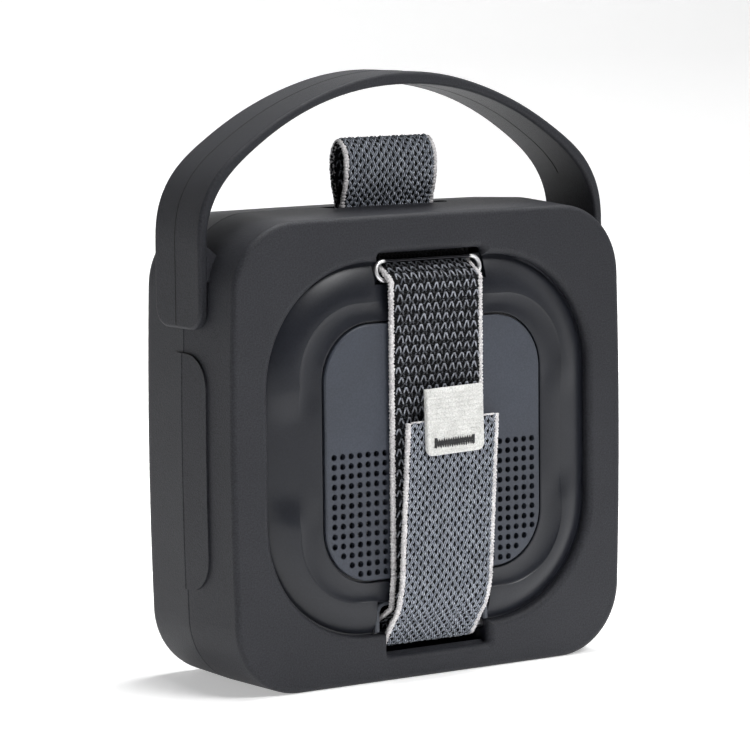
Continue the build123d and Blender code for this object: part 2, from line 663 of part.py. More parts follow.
with BuildPart() as radiator_weight:
    weight_y = radiator_y - 0.3
    forwards(rounded(weight_y, RADIATOR_Z, RADIATOR_WIDTH - 10, RADIATOR_HEIGHT - 10, 3.4), 1.6)
    chamfer(radiator_weight.faces().filter_by(Axis.Y).edges(), 0.3)
finish(radiator_weight, "radiator_weight")

# ---------------------------------------------------------------- power and electronics
with BuildPart() as battery_cell:
    block(-26, 26, -6.4, 9.8, 7.6, 20.4)
    fillet(battery_cell.edges().filter_by(Axis.X), 3.0)
finish(battery_cell, "battery_cell")

with BuildPart() as main_board:
    block(-37, 37, -12.6, -11.2, 73.5, 96.6)
    fillet(main_board.edges().filter_by(Axis.Y), 2.0)
finish(main_board, "main_board")

CHIPS = {
    "processor_chip": (-14, 84, 9.0, 9.0, 1.1),
    "amplifier_chip": (6, 84, 7.0, 7.0, 1.2),
    "radio_module": (27, 88, 12.0, 9.0, 1.8),
}
for chip_name, (x, z, width, height, thickness) in CHIPS.items():
    with BuildPart() as chip:
        block(x - width / 2, x + width / 2, -11.2, -11.2 + thickness, z - height / 2, z + height / 2)
        chamfer(chip.faces().sort_by(Axis.Y)[-1].edges(), 0.2)
    finish(chip, chip_name)

with BuildPart() as port_board:
    block(38.5, 48.2, PORT_Y - 3.4, PORT_Y - 2.0, PORT_Z - 8, PORT_Z + 8)
finish(port_board, "port_board")

with BuildPart() as charging_port:
    with BuildSketch(Plane.YZ.offset(42.0)) as shell_section:
        with Locations((PORT_Y, PORT_Z)):
            RectangleRounded(PORT_WIDTH, PORT_HEIGHT, 1.55)
    extrude(shell_section.sketch, amount=8.6)
    with BuildSketch(Plane.YZ.offset(43.0)) as mouth_section:
        with Locations((PORT_Y, PORT_Z)):
            RectangleRounded(PORT_WIDTH - 0.6, PORT_HEIGHT - 0.6, 1.25)
    extrude(mouth_section.sketch, amount=9, mode=Mode.SUBTRACT)
    block(42.5, 49.2, PORT_Y - 0.35, PORT_Y + 0.35, PORT_Z - 3.2, PORT_Z + 3.2)
    block(42.0, 47.0, PORT_Y - 2.0, PORT_Y - 1.3, PORT_Z - 3, PORT_Z + 3)
finish(charging_port, "charging_port")

with BuildPart() as housing_screws:
    for x, z in SCREW_SPOTS:
        forwards(disc(x, -12.2, z, 2.2), 2.1)
        forwards(disc(x, -12.2, z, 0.9), 21)
        with BuildSketch(at_depth(-12.2)) as drive:
            with Locations((x, z)):
                RegularPolygon(1.0, 6)
        forwards(drive.sketch, 1.0, Mode.SUBTRACT)
finish(housing_screws, "housing_screws")

# ---------------------------------------------------------------- buttons
SWITCH_TOP_Y = 11.8
BUTTON_TRAVEL = 0.5


def icon_bar(x, width, height, angle=0):
    """A small raised bar of a button's symbol."""
    with BuildSketch(at_depth(BUTTON_FACE_Y - 0.1)) as mark:
        with Locations((x, BUTTON_Z)):
            Rectangle(width, height, rotation=angle)
    forwards(mark.sketch, ICON_HEIGHT + 0.1)


def icon_symbol(kind, x):
    """The raised symbol on a button's face: generic signs only."""
    if kind == "power":
        with BuildSketch(at_depth(BUTTON_FACE_Y - 0.1)) as ring:
            with Locations((x, BUTTON_Z)):
                Circle(1.7)
                Circle(1.25, mode=Mode.SUBTRACT)
        forwards(ring.sketch, ICON_HEIGHT + 0.1)
    if kind == "pairing":
        with BuildSketch(at_depth(BUTTON_FACE_Y - 0.1)) as dots:
            with Locations((x - 1.4, BUTTON_Z), (x, BUTTON_Z), (x + 1.4, BUTTON_Z)):
                Circle(0.4)
        forwards(dots.sketch, ICON_HEIGHT + 0.1)
    if kind == "play":
        with BuildSketch(at_depth(BUTTON_FACE_Y - 0.1)) as triangle:
            with Locations((x, BUTTON_Z)):
                RegularPolygon(1.9, 3, rotation=180)
        forwards(triangle.sketch, ICON_HEIGHT + 0.1)
    if kind in ("volume_down", "volume_up"):
        icon_bar(x, 3.4, 0.55)
    if kind == "volume_up":
        icon_bar(x, 0.55, 3.4)


BUTTONS = ["volume_up", "volume_down", "play", "pairing", "power"]
for place, kind in enumerate(BUTTONS):
    x = (place - 2) * BUTTON_SPACING
    with BuildPart() as button:
        forwards(disc(x, 16.0, BUTTON_Z, BUTTON_RADIUS), BUTTON_FACE_Y - 16.0)
        fillet(button.faces().sort_by(Axis.Y)[-1].edges(), 0.5)
        forwards(disc(x, 16.0, BUTTON_Z, BUTTON_RADIUS + 0.75), 0.8)
        forwards(disc(x, SWITCH_TOP_Y + BUTTON_TRAVEL + 0.1, BUTTON_Z, 1.6), 4)
        icon_symbol(kind, x)
    finish(button, f"{kind}_button")

with BuildPart() as switch_board:
    block(-38.6, 38.6, 8.6, 9.8, 90.2, 97.0)
    fillet(switch_board.edges().filter_by(Axis.Y), 1.5)
finish(switch_board, "switch_board")

with BuildPart() as tact_switches:
    for place in range(-2, 3):
        x = place * BUTTON_SPACING
        block(x - 1.9, x + 1.9, 9.8, 11.2, BUTTON_Z - 1.9, BUTTON_Z + 1.9)
        forwards(disc(x, 11.1, BUTTON_Z, 1.1), SWITCH_TOP_Y - 11.1)
finish(tact_switches, "tact_switches")

with BuildPart() as status_light:
    forwards(disc(LIGHT_X, 9.9, BUTTON_Z, 1.0), BODY_FRONT - 9.9 + 0.3)
finish(status_light, "status_light")

with BuildPart() as microphone:
    forwards(disc(-LIGHT_X, 12.6, BUTTON_Z, 1.0), BODY_FRONT - 12.6)
finish(microphone, "microphone")

# ---------------------------------------------------------------- strap hardware
with BuildPart() as strap_ring:
    ring_normal = (0, -cos(radians(RING_TILT)), sin(radians(RING_TILT)))
    with BuildSketch(Plane((0, RING_Y, RING_Z), x_dir=(1, 0, 0), z_dir=ring_normal)) as ring_path:
        SlotOverall(RING_WIDTH - 2 * RING_WIRE, RING_HEIGHT - 2 * RING_WIRE)
    wire_loop = ring_path.sketch.face().outer_wire()
    with BuildSketch(Plane(wire_loop @ 0, z_dir=wire_loop % 0)) as wire_section:
        Circle(RING_WIRE)
    sweep(wire_section.sketch, path=wire_loop)
finish(strap_ring, "strap_ring")

with BuildPart() as lower_trim:
    outer_half = CHANNEL_WIDTH / 2 - 0.1
    with BuildSketch(at_depth(TRIM_Y - TRIM_WIRE)) as arch:
        with Locations((0, TRIM_TOP_Z - 10)):
            RectangleRounded(2 * outer_half, 20, 3.0)
            RectangleRounded(2 * outer_half - 4 * TRIM_WIRE, 20 - 4 * TRIM_WIRE, 1.8, mode=Mode.SUBTRACT)
        Rectangle(SLEEVE_WIDTH, 2 * TRIM_FOOT_Z, mode=Mode.SUBTRACT)
    forwards(arch.sketch, 2 * TRIM_WIRE)
    chamfer(lower_trim.faces().filter_by(Axis.Y).edges(), 0.3)
finish(lower_trim, "lower_trim")

with BuildPart() as lower_bar:
    with BuildSketch(Plane.YZ) as bar_section:
        with Locations((BAR_Y, BAR_Z)):
            Circle(BAR_RADIUS)
    extrude(bar_section.sketch, amount=CHANNEL_WIDTH / 2 - 0.1, both=True)
finish(lower_bar, "lower_bar")

with BuildPart() as anchor_pin:
    with BuildSketch(Plane.YZ) as pin_section:
        with Locations((ANCHOR_Y, ANCHOR_Z)):
            Circle(ANCHOR_RADIUS)
    extrude(pin_section.sketch, amount=CHANNEL_WIDTH / 2 - 0.1, both=True)
finish(anchor_pin, "anchor_pin")

# ---------------------------------------------------------------- strap
ROOT_LEAN = (-sin(radians(FLAP_TILT)), cos(radians(FLAP_TILT)))
TURN_RADIUS = BAR_RADIUS + 0.15 + STRAP_THICKNESS / 2
LEAVE_Y = BAR_Y - TURN_RADIUS * cos(radians(FLAP_TILT))
LEAVE_Z = BAR_Z - TURN_RADIUS * sin(radians(FLAP_TILT))
HINGE_Y = LEAVE_Y + 6.0 * ROOT_LEAN[0]
HINGE_Z = LEAVE_Z + 6.0 * ROOT_LEAN[1]
ROOT_GAP = STRAP_THICKNESS / 2 + 0.3
STUB_TOP_Z = LOOP_AXIS_Z - 1.8

# centre lines as (y, z), then the bands along them
back_run_line = FilletPolyline(
    (LEG_Y, STUB_TOP_Z),
    (LEG_Y, 100.4),
    (-15.6, 100.4),
    (-15.9, 97.4),
    (RUN_Y, 94.3),
    (RUN_Y, 24.5),
    (-20.2, 17.2),
    (BAR_Y + TURN_RADIUS, 13.2),
    (BAR_Y + TURN_RADIUS, BAR_Z),
    radius=1.5,
)
turn_line = CenterArc((BAR_Y, BAR_Z), TURN_RADIUS, 0, -(180 - FLAP_TILT))
root_line = Line(turn_line @ 1, (HINGE_Y, HINGE_Z))
tail_radius = ANCHOR_RADIUS + 0.15 + STRAP_THICKNESS / 2
tail_line = Line((-LEG_Y, STUB_TOP_Z), (-LEG_Y, ANCHOR_Z))
tail_turn_line = CenterArc((ANCHOR_Y, ANCHOR_Z), tail_radius, 0, -225)
loop_line = Spline(
    (-LEG_Y, LOOP_AXIS_Z),
    (-2.6, 115.4),
    (-3.1, 119.6),
    (-2.6, 123.2),
    (0.1, LOOP_TOP_Z - STRAP_THICKNESS / 2),
    (2.6, 123.2),
    (3.1, 119.6),
    (2.6, 115.4),
    (LEG_Y, LOOP_AXIS_Z),
    tangents=[(-0.1, 1), (-0.1, -1)],
)
FLAP_LENGTH = FLAP_TOP_Z - HINGE_Z
flap_bend_line = Spline(
    (HINGE_Y, 0),
    (HINGE_Y + 3.2 * ROOT_LEAN[0], 3.2 * ROOT_LEAN[1]),
    (FLAP_FACE_Y + 0.35, 7.0),
    (FLAP_FACE_Y, 11.5),
    tangents=[ROOT_LEAN, (0, 1)],
)
flap_line = [flap_bend_line, Line((FLAP_FACE_Y, 11.5), (FLAP_FACE_Y, FLAP_LENGTH))]

skew = radians(FLAP_SKEW)
FLAP_PLANE = Plane(origin=(0, 0, HINGE_Z), x_dir=(0, 1, 0), z_dir=(cos(skew), 0, -sin(skew)))
CUT_Y = HINGE_Y + (5 - ROOT_GAP) * ROOT_LEAN[0]
CUT_UP = (5 - ROOT_GAP) * ROOT_LEAN[1]

with BuildPart() as strap_back_run:
    band(Plane.YZ, [*back_run_line.edges(), turn_line, root_line], STRAP_WIDTH)
    with BuildSketch(FLAP_PLANE) as root_cut:
        with Locations((CUT_Y, CUT_UP)):
            Rectangle(4, 10, rotation=FLAP_TILT)
    extrude(root_cut.sketch, amount=STRAP_WIDTH, both=True, mode=Mode.SUBTRACT)
finish(strap_back_run, "strap_back_run")

with BuildPart() as strap_tail:
    band(Plane.YZ, [tail_line, tail_turn_line], STRAP_WIDTH)
finish(strap_tail, "strap_tail")


def across_flap(y, up, thickness, length, width):
    """A slab that lies along the flap: y across its thickness, up along it, width across it."""
    with BuildSketch(FLAP_PLANE) as section:
        with Locations((y, up)):
            Rectangle(thickness, length)
    extrude(section.sketch, amount=width / 2, both=True)


with BuildPart() as strap_flap:
    band(FLAP_PLANE, flap_line, STRAP_WIDTH, round_start=True)
finish(strap_flap, "strap_flap")

with BuildPart() as hook_patch:
    across_flap(FLAP_FACE_Y + STRAP_THICKNESS / 2 + 0.5, FLAP_LENGTH - 13.5, 0.9, 24, STRAP_WIDTH - 4.4)
finish(hook_patch, "hook_patch")

TAB_FACE_Y = FLAP_FACE_Y - STRAP_THICKNESS / 2 - 0.05
with BuildPart() as pull_tab:
    across_flap(TAB_FACE_Y - TAB_THICKNESS / 2, FLAP_LENGTH - 0.4, TAB_THICKNESS, TAB_LENGTH, TAB_WIDTH)
    fillet(pull_tab.edges().filter_by(Axis.Y).group_by(Axis.Z)[0], 2.0)
finish(pull_tab, "pull_tab")

with BuildPart() as bartack:
    across_flap(TAB_FACE_Y - TAB_THICKNESS - 0.17, FLAP_LENGTH - 5.4, 0.3, 1.7, 11)
finish(bartack, "bartack")

with BuildPart() as hang_loop:
    band(Plane.YZ, [loop_line], STRAP_WIDTH, round_start=True, round_end=True)
finish(hang_loop, "hang_loop")
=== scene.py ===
"""Looks for the shower speaker: a sleeved speaker with an arched handle and a woven strap."""

import math

import bmesh
import bpy
import numpy as np
from mathutils import Matrix, Vector


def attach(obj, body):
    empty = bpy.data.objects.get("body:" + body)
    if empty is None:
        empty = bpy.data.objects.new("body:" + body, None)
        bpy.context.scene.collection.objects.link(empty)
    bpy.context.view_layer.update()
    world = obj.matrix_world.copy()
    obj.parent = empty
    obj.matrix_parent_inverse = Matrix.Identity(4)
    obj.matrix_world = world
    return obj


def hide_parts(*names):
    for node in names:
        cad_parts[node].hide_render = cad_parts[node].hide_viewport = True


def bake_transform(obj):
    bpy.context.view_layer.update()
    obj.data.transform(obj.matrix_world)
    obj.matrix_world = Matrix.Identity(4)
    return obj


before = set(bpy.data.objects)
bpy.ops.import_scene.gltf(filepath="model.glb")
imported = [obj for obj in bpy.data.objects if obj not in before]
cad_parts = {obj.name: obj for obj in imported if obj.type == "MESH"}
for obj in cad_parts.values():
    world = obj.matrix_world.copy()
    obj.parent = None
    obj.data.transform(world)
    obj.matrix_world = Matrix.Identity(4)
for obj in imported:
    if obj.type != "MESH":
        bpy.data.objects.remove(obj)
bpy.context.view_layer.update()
MM = 0.001
ROOT = "speaker_in_sleeve"

# ---------------------------------------------------------------- sizes in millimetres, as in the CAD
BAND_WIDTH = 26.4
BAND_THICKNESS = 1.3
SELVEDGE = 1.3
BAR_Y, BAR_Z = -15.5, 10.3
TURN_RADIUS = 2.05
FLAP_LEAN = math.radians(35.0)
FLAP_SKEW = math.radians(2.9)
WEFT_TILT = math.radians(1.0)  # the flap's weft rises a little to the right
FLAP_Y = -24.0
FLAP_TOP_Z = 61.3
RUN_Y = -21.2
LEG_Y = 1.25
LOOP_TOP_Z = 126.5
LOOP_AXIS_Z = 111.2
TAB_WIDTH, TAB_LENGTH, TAB_THICKNESS = 16.5, 15.8, 1.1


# ---------------------------------------------------------------- materials
class Nodes:
    """A short way to write one procedural material."""

    def __init__(self, name):
        self.material = bpy.data.materials.new(name)
        self.material.use_nodes = True
        self.tree = self.material.node_tree
        self.tree.nodes.clear()
        self.output = self.tree.nodes.new("ShaderNodeOutputMaterial")
        self.shader = self.tree.nodes.new("ShaderNodeBsdfPrincipled")
        self.tree.links.new(self.shader.outputs[0], self.output.inputs[0])
        self.place = self.tree.nodes.new("ShaderNodeTexCoord").outputs["Object"]

    def add(self, kind, **settings):
        node = self.tree.nodes.new(kind)
        for key, value in settings.items():
            if hasattr(node, key):
                setattr(node, key, value)
            else:
                node.inputs[key.replace("_", " ")].default_value = value
        return node

    def link(self, source, target):
        self.tree.links.new(source, target)

    def noise(self, scale, detail=2.0, rough=0.5, stretch=None):
        """Noise of a given feature size: scale is in features per metre."""
        node = self.add("ShaderNodeTexNoise")
        node.inputs["Scale"].default_value = scale
        node.inputs["Detail"].default_value = detail
        node.inputs["Roughness"].default_value = rough
        place = self.place
        if stretch:
            mapping = self.add("ShaderNodeMapping")
            mapping.inputs["Scale"].default_value = stretch
            self.link(place, mapping.inputs[0])
            place = mapping.outputs[0]
        self.link(place, node.inputs["Vector"])
        return node.outputs["Fac"]

    def ramp(self, factor, stops):
        node = self.add("ShaderNodeValToRGB")
        elements = node.color_ramp.elements
        while len(elements) < len(stops):
            elements.new(0.5)
        for element, (position, colour) in zip(elements, stops):
            element.position = position
            element.color = (*colour, 1.0) if len(colour) == 3 else colour
        self.link(factor, node.inputs[0])
        return node.outputs[0]

    def mix(self, a, b, factor, kind="MIX"):
        node = self.add("ShaderNodeMix", data_type="RGBA", blend_type=kind)
        if isinstance(factor, float):
            node.inputs[0].default_value = factor
        else:
            self.link(factor, node.inputs[0])
        self.link(a, node.inputs[6])
        self.link(b, node.inputs[7])
        return node.outputs[2]

    def sum(self, a, b, weight=1.0):
        node = self.add("ShaderNodeMath", operation="MULTIPLY_ADD")
        self.link(b, node.inputs[0])
        node.inputs[1].default_value = weight
        self.link(a, node.inputs[2])
        return node.outputs[0]

    def to_range(self, value, low, high):
        node = self.add("ShaderNodeMapRange")
        self.link(value, node.inputs["Value"])
        node.inputs["To Min"].default_value = low
        node.inputs["To Max"].default_value = high
        return node.outputs[0]

    def bump(self, height, depth, strength=1.0):
        node = self.add("ShaderNodeBump")
        node.inputs["Strength"].default_value = strength
        node.inputs["Distance"].default_value = depth
        self.link(height, node.inputs["Height"])
        self.link(node.outputs[0], self.shader.inputs["Normal"])

    def base(self, colour):
        self.link(colour, self.shader.inputs["Base Color"])

    def rough(self, value):
        if isinstance(value, float):
            self.shader.inputs["Roughness"].default_value = value
        else:
            self.link(value, self.shader.inputs["Roughness"])

    def set(self, **values):
        for key, value in values.items():
            self.shader.inputs[key.replace("_", " ")].default_value = value
        return self


def tone(*values):
    """A linear colour from sRGB values between 0 and 255."""
    return tuple(((v / 255 + 0.055) / 1.055) ** 2.4 if v > 10 else v / 255 / 12.92 for v in values)


def speckled(name, dark, light, grain, roughness, depth, speck=0.0, contrast=0.13):
    """A moulded surface: slow colour drift, fine pits and, where asked, pale specks."""
    m = Nodes(name)
    drift = m.noise(35.0, 3.0)
    fine = m.noise(grain, 3.0, 0.6)
    colour = m.ramp(drift, [(0.3, dark), (0.7, light)])
    grit = m.ramp(fine, [(0.36, (1 - contrast,) * 3), (0.64, (1 + contrast,) * 3)])
    colour = m.mix(colour, grit, 1.0, "MULTIPLY")
    if speck:
        dots = m.ramp(m.noise(grain * 1.6, 1.0), [(0.68, (0, 0, 0)), (0.76, (speck, speck, speck))])
        colour = m.mix(colour, dots, 1.0, "ADD")
    m.base(colour)
    m.rough(m.to_range(fine, roughness - 0.06, roughness + 0.06))
    m.bump(fine, depth)
    return m


def yarn(name, dark, light, roughness=0.85, twist=2600.0, fuzz=0.00006):
    """Textile yarn: fibres as noise with a slow tone drift; the colour darkens where the fibre bump is
    low, painted shade in the hollows.
    """
    m = Nodes(name)
    fibres = m.noise(twist, 3.0, 0.7)
    broad = m.noise(420.0, 2.0)
    colour = m.ramp(m.sum(fibres, broad, 0.35), [(0.45, dark), (0.85, light)])
    m.base(colour)
    m.rough(roughness)
    m.bump(fibres, fuzz, 0.8)
    m.set(Sheen_Weight=0.25, Sheen_Roughness=0.5)
    return m


def flecked(name, dark, pale):
    """The selvedge's inner side, where pale and black yarns cross."""
    m = Nodes(name)
    spots = m.noise(1500.0, 1.0, 0.4)
    m.base(m.ramp(spots, [(0.5, dark), (0.58, pale)]))
    m.rough(0.85)
    m.bump(m.noise(2600.0, 3.0, 0.7), 0.00006, 0.8)
    return m


def metal(name, colour, roughness, grain=900.0):
    m = Nodes(name)
    fine = m.noise(grain, 2.0, 0.5, (1.0, 12.0, 12.0))
    m.base(m.ramp(fine, [(0.3, tuple(c * 0.85 for c in colour)), (0.7, colour)]))
    m.rough(m.to_range(fine, roughness * 0.7, roughness * 1.3))
    m.bump(fine, 0.00001, 0.4)
    m.set(Metallic=1.0)
    return m


SILICONE = speckled("silicone", tone(39, 40, 45), tone(45, 46, 51), 2600.0, 0.55, 0.00012, 0.01, 0.3)
SILICONE.set(Specular_IOR_Level=0.3)
# painted shade: the near-black colour stands for the shade in the handle's parting groove
PARTING = speckled("parting_groove_painted_shade", tone(5, 5, 6), tone(10, 10, 11), 2600.0, 0.7, 0.00002)
BUMPER = speckled("soft_touch", tone(27, 29, 35), tone(32, 34, 41), 2200.0, 0.34, 0.00001)
BUMPER.set(Specular_IOR_Level=0.4)
PLATE = speckled("plate_plastic", tone(54, 58, 67), tone(62, 67, 78), 2400.0, 0.5, 0.00003, 0.04)
GRILLE = speckled("grille_paint", tone(38, 40, 44), tone(46, 48, 52), 3200.0, 0.45, 0.00003)
HOUSING = speckled("housing_plastic", tone(22, 22, 24), tone(30, 30, 32), 2000.0, 0.6, 0.00003)
SEAL = speckled("seal_rubber", tone(14, 14, 15), tone(22, 22, 23), 1800.0, 0.7, 0.00003)
BUTTON = speckled("button_plastic", tone(30, 31, 34), tone(38, 39, 43), 2600.0, 0.45, 0.00002)
TRIM = speckled("trim_plastic", tone(66, 70, 77), tone(78, 82, 90), 2600.0, 0.5, 0.00002)
CONE = speckled("cone_pulp", tone(26, 26, 28), tone(36, 36, 38), 1500.0, 0.7, 0.00005)
BOARD = speckled("circuit_board", tone(10, 62, 40), tone(16, 78, 50), 1500.0, 0.45, 0.00003)
CHIP = speckled("chip_resin", tone(18, 18, 19), tone(28, 28, 30), 2400.0, 0.5, 0.00002)
CELL = speckled("cell_film", tone(46, 82, 122), tone(56, 94, 138), 900.0, 0.35, 0.00002)
MAGNET = speckled("ferrite", tone(44, 44, 46), tone(58, 58, 60), 1600.0, 0.6, 0.00004)
LIGHT = speckled("light_pipe", tone(214, 220, 226), tone(236, 240, 244), 1200.0, 0.35, 0.00001)
HOOKS = yarn("hook_tape", tone(12, 12, 13), tone(34, 34, 36))


def ring_painted_shade_metal():
    """Painted shade: near-black along the ring's bars, which stand in the dark notch and reflect it;
    bright steel at the ends.
    """
    m = metal("ring_steel_painted_shade", (0.84, 0.84, 0.86), 0.2)
    split = m.add("ShaderNodeSeparateXYZ")
    m.link(m.place, split.inputs[0])
    across = m.add("ShaderNodeMath", operation="ABSOLUTE")
    m.link(split.outputs[0], across.inputs[0])
    end = m.add("ShaderNodeMapRange")
    m.link(across.outputs[0], end.inputs["Value"])
    end.inputs["From Min"].default_value = 0.0118
    end.inputs["From Max"].default_value = 0.0126
    # painted shade on the bars: near-black base colour where the wire lies in the dark notch; the ends
    # keep the steel's bright colour
    m.base(m.ramp(end.outputs[0], [(0.0, (0.035, 0.035, 0.04)), (1.0, (0.95, 0.95, 0.96))]))
    m.rough(m.to_range(end.outputs[0], 0.2, 0.42))
    return m


RING_PAINTED_SHADE_METAL = ring_painted_shade_metal()
STEEL = metal("satin_steel", (0.5, 0.5, 0.52), 0.3)
COPPER = metal("coil_wire", (0.72, 0.38, 0.2), 0.35)
BLACK_YARN = yarn("black_yarn", tone(2, 2, 3), tone(17, 18, 22))
BLACK_YARN.set(Sheen_Weight=0.08, Specular_IOR_Level=0.2)
# painted highlights: the stitch yarn's small spots run from near-black to near-white, glints of glossy
# yarn over the stitches' own pale and black tone; the dim yarn's grey spots are painted glossy highlights
# on dark yarn
STITCH_YARN_PAINTED_HIGHLIGHTS = yarn("stitch_yarn_painted_highlights", tone(8, 9, 12), tone(186, 190, 202), 0.45, 1500.0)
DIM_YARN_PAINTED_HIGHLIGHTS = yarn("dim_yarn_painted_highlights", tone(3, 3, 4), tone(84, 88, 98), 0.45, 1500.0)
LIGHT_YARN = yarn("pale_yarn", tone(108, 115, 130), tone(202, 208, 219))
WHITE_YARN = yarn("white_yarn", tone(166, 162, 165), tone(250, 248, 248))
TAB_YARN = yarn("tab_yarn", tone(188, 188, 185), tone(244, 244, 241), 0.8)
FLECKED_YARN = flecked("flecked_yarn", tone(14, 14, 16), tone(206, 204, 208))
THREAD = yarn("black_thread", tone(14, 14, 15), tone(46, 46, 48), 0.7)

NODE_MATERIALS = {
    "silicone_case": SILICONE,
    "rear_bumper": BUMPER,
    "front_bumper": BUMPER,
    "rear_plate": PLATE,
    "front_grille": GRILLE,
    "rear_housing": HOUSING,
    "front_housing": HOUSING,
    "driver_frame": HOUSING,
    "radiator_frame": HOUSING,
    "housing_seal": SEAL,
    "driver_surround": SEAL,
    "radiator_surround": SEAL,
    "driver_magnet": MAGNET,
    "radiator_weight": STEEL,
    "driver_cone": CONE,
    "dust_cap": CONE,
    "driver_spider": CONE,
    "voice_coil": COPPER,
    "main_board": BOARD,
    "port_board": BOARD,
    "switch_board": BOARD,
    "processor_chip": CHIP,
    "amplifier_chip": CHIP,
    "radio_module": CHIP,
    "tact_switches": CHIP,
    "microphone": CHIP,
    "battery_cell": CELL,
    "charging_port": STEEL,
    "housing_screws": STEEL,
    "lower_bar": STEEL,
    "anchor_pin": STEEL,
    "strap_ring": RING_PAINTED_SHADE_METAL,
    "lower_trim": TRIM,
    "status_light": LIGHT,
    "hook_patch": HOOKS,
    "strap_tail": BLACK_YARN,
    "strap_back_run": BLACK_YARN,
    "strap_flap": BLACK_YARN,
    "hang_loop": BLACK_YARN,
    "pull_tab": TAB_YARN,
    "bartack": THREAD,
}
for button in ("power", "pairing", "play", "volume_down", "volume_up"):
    NODE_MATERIALS[f"{button}_button"] = BUTTON
for node, made in NODE_MATERIALS.items():
    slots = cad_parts[node].data.materials
    slots.clear()
    slots.append(made.material)


# ---------------------------------------------------------------- mesh helpers
def mesh_piece(name, vertices, faces, materials, material_index=None, smooth=True):
    """A mesh object from vertices in millimetres."""
    data = bpy.data.meshes.new(name)
    data.from_pydata([tuple(v) for v in np.asarray(vertices) * MM], [], [tuple(f) for f in faces])
    for material in materials:
        data.materials.append(material.material)
    if material_index is not None:
        data.polygons.foreach_set("material_index", np.asarray(material_index, dtype=np.int32))
    data.polygons.foreach_set("use_smooth", np.full(len(data.polygons), smooth))
    data.validate()
    data.update()
    piece = bpy.data.objects.new(name, data)
    bpy.context.scene.collection.objects.link(piece)
    return piece


def weld(piece):
    """Joins vertices that lie on each other."""
    shape = bmesh.new()
    shape.from_mesh(piece.data)
    bmesh.ops.remove_doubles(shape, verts=shape.verts, dist=0.000005)
    shape.to_mesh(piece.data)
    shape.free()


class Parts:
    """Collects grids and tubes, each with its own material, into one mesh."""

    def __init__(self):
        self.vertices, self.faces, self.slots = [], [], []
        self.count = 0

    def grid(self, points, slot, close_rows=False, close_columns=False, flip=False):
        """points has shape (rows, columns, 3)."""
        rows, columns = points.shape[:2]
        self.vertices.append(points.reshape(-1, 3))
        r = np.arange(rows if close_rows else rows - 1)[:, None]
        c = np.arange(columns if close_columns else columns - 1)[None, :]
        r2, c2 = (r + 1) % rows, (c + 1) % columns
        quad = np.stack([r * columns + c, r * columns + c2, r2 * columns + c2, r2 * columns + c], -1)
        quad = quad.reshape(-1, 4)
        if flip:
            quad = quad[:, ::-1]
        self.faces.append(quad + self.count)
        self.slots.append(np.full(len(quad), slot))
        self.count += rows * columns

    def tube(self, path, radius, slot, sides=6, across=None, flat=1.0):
        """A closed-ended tube along path (n, 3); across stays full width where flat is under 1."""
        n = len(path)
        tangent = np.gradient(path, axis=0)
        tangent /= np.linalg.norm(tangent, axis=1)[:, None] + 1e-12
        side = across if across is not None else np.tile([1.0, 0.0, 0.0], (n, 1))
        side = side - tangent * np.sum(side * tangent, axis=1)[:, None]
        side /= np.linalg.norm(side, axis=1)[:, None] + 1e-12
        up = np.cross(tangent, side)
        angles = np.linspace(0, 2 * math.pi, sides, endpoint=False)
        radii = np.broadcast_to(np.asarray(radius, float).reshape(-1, 1, 1), (n, 1, 1)).copy()
        ring = (
            path[:, None, :]
            + radii * np.cos(angles)[None, :, None] * side[:, None, :]
            + radii * flat * np.sin(angles)[None, :, None] * up[:, None, :]
        )
        self.grid(ring, slot, close_columns=True)
        start = self.count - n * sides
        self.caps(start, sides, slot, reverse=True)
        self.caps(self.count - sides, sides, slot, reverse=False)

    def caps(self, start, sides, slot, reverse):
        loop = np.arange(start, start + sides)
        if sides % 2:
            return
        half = sides // 2 - 1
        quads = [[loop[i], loop[i + 1], loop[sides - 2 - i], loop[sides - 1 - i]] for i in range(half)]
        quads = np.array(quads)
        if reverse:
            quads = quads[:, ::-1]
        self.faces.append(quads)
        self.slots.append(np.full(len(quads), slot))

    def build(self, name, materials):
        vertices, faces = np.concatenate(self.vertices), np.concatenate(self.faces)
        return mesh_piece(name, vertices, faces, materials, np.concatenate(self.slots))


# ---------------------------------------------------------------- the strap's route
def rounded_route(corners, radius, step=0.1):
    """Dense (y, z) points along straight runs whose corners are rounded."""
    corners = [np.array(c, float) for c in corners]
    points = [corners[0]]
    for before, here, after in zip(corners, corners[1:], corners[2:]):
        into = (here - before) / np.linalg.norm(here - before)
        out = (after - here) / np.linalg.norm(after - here)
        turn = math.acos(max(-1.0, min(1.0, float(into @ out))))
        if turn < 1e-3:
            continue
        back = radius * math.tan(turn / 2)
        first = here - into * back
        left = np.array([-into[1], into[0]])
        sign = 1.0 if left @ out > 0 else -1.0
        centre = first + left * sign * radius
        for k in range(9):
            a = sign * turn * k / 8
            arm = first - centre
            c, d = math.cos(a), math.sin(a)
            points.append(centre + np.array([arm[0] * c - arm[1] * d, arm[0] * d + arm[1] * c]))
    points.append(corners[-1])
    return resample(np.array(points), step)


def resample(points, step):
    gaps = np.linalg.norm(np.diff(points, axis=0), axis=1)
    keep = np.concatenate([[True], gaps > 1e-6])
    points = points[keep]
    along = np.concatenate([[0], np.cumsum(np.linalg.norm(np.diff(points, axis=0), axis=1))])
    count = max(2, int(round(along[-1] / step)) + 1)
    wanted = np.linspace(0, along[-1], count)
    return np.stack([np.interp(wanted, along, points[:, k]) for k in range(2)], -1)


def smooth_route(points, step=0.1):
    """A Catmull-Rom curve through (y, z) points, resampled evenly."""
    p = np.array([points[0], *points, points[-1]], float)
    out = []
    for i in range(1, len(p) - 2):
        for t in np.linspace(0, 1, 24, endpoint=False):
            a, b, c, d = p[i - 1], p[i], p[i + 1], p[i + 2]
            square = (2 * a - 5 * b + 4 * c - d) * t**2
            cube = (3 * b - a - 3 * c + d) * t**3
            out.append(0.5 * (2 * b + (c - a) * t + square + cube))
    out.append(p[-2])
    return resample(np.array(out), step)


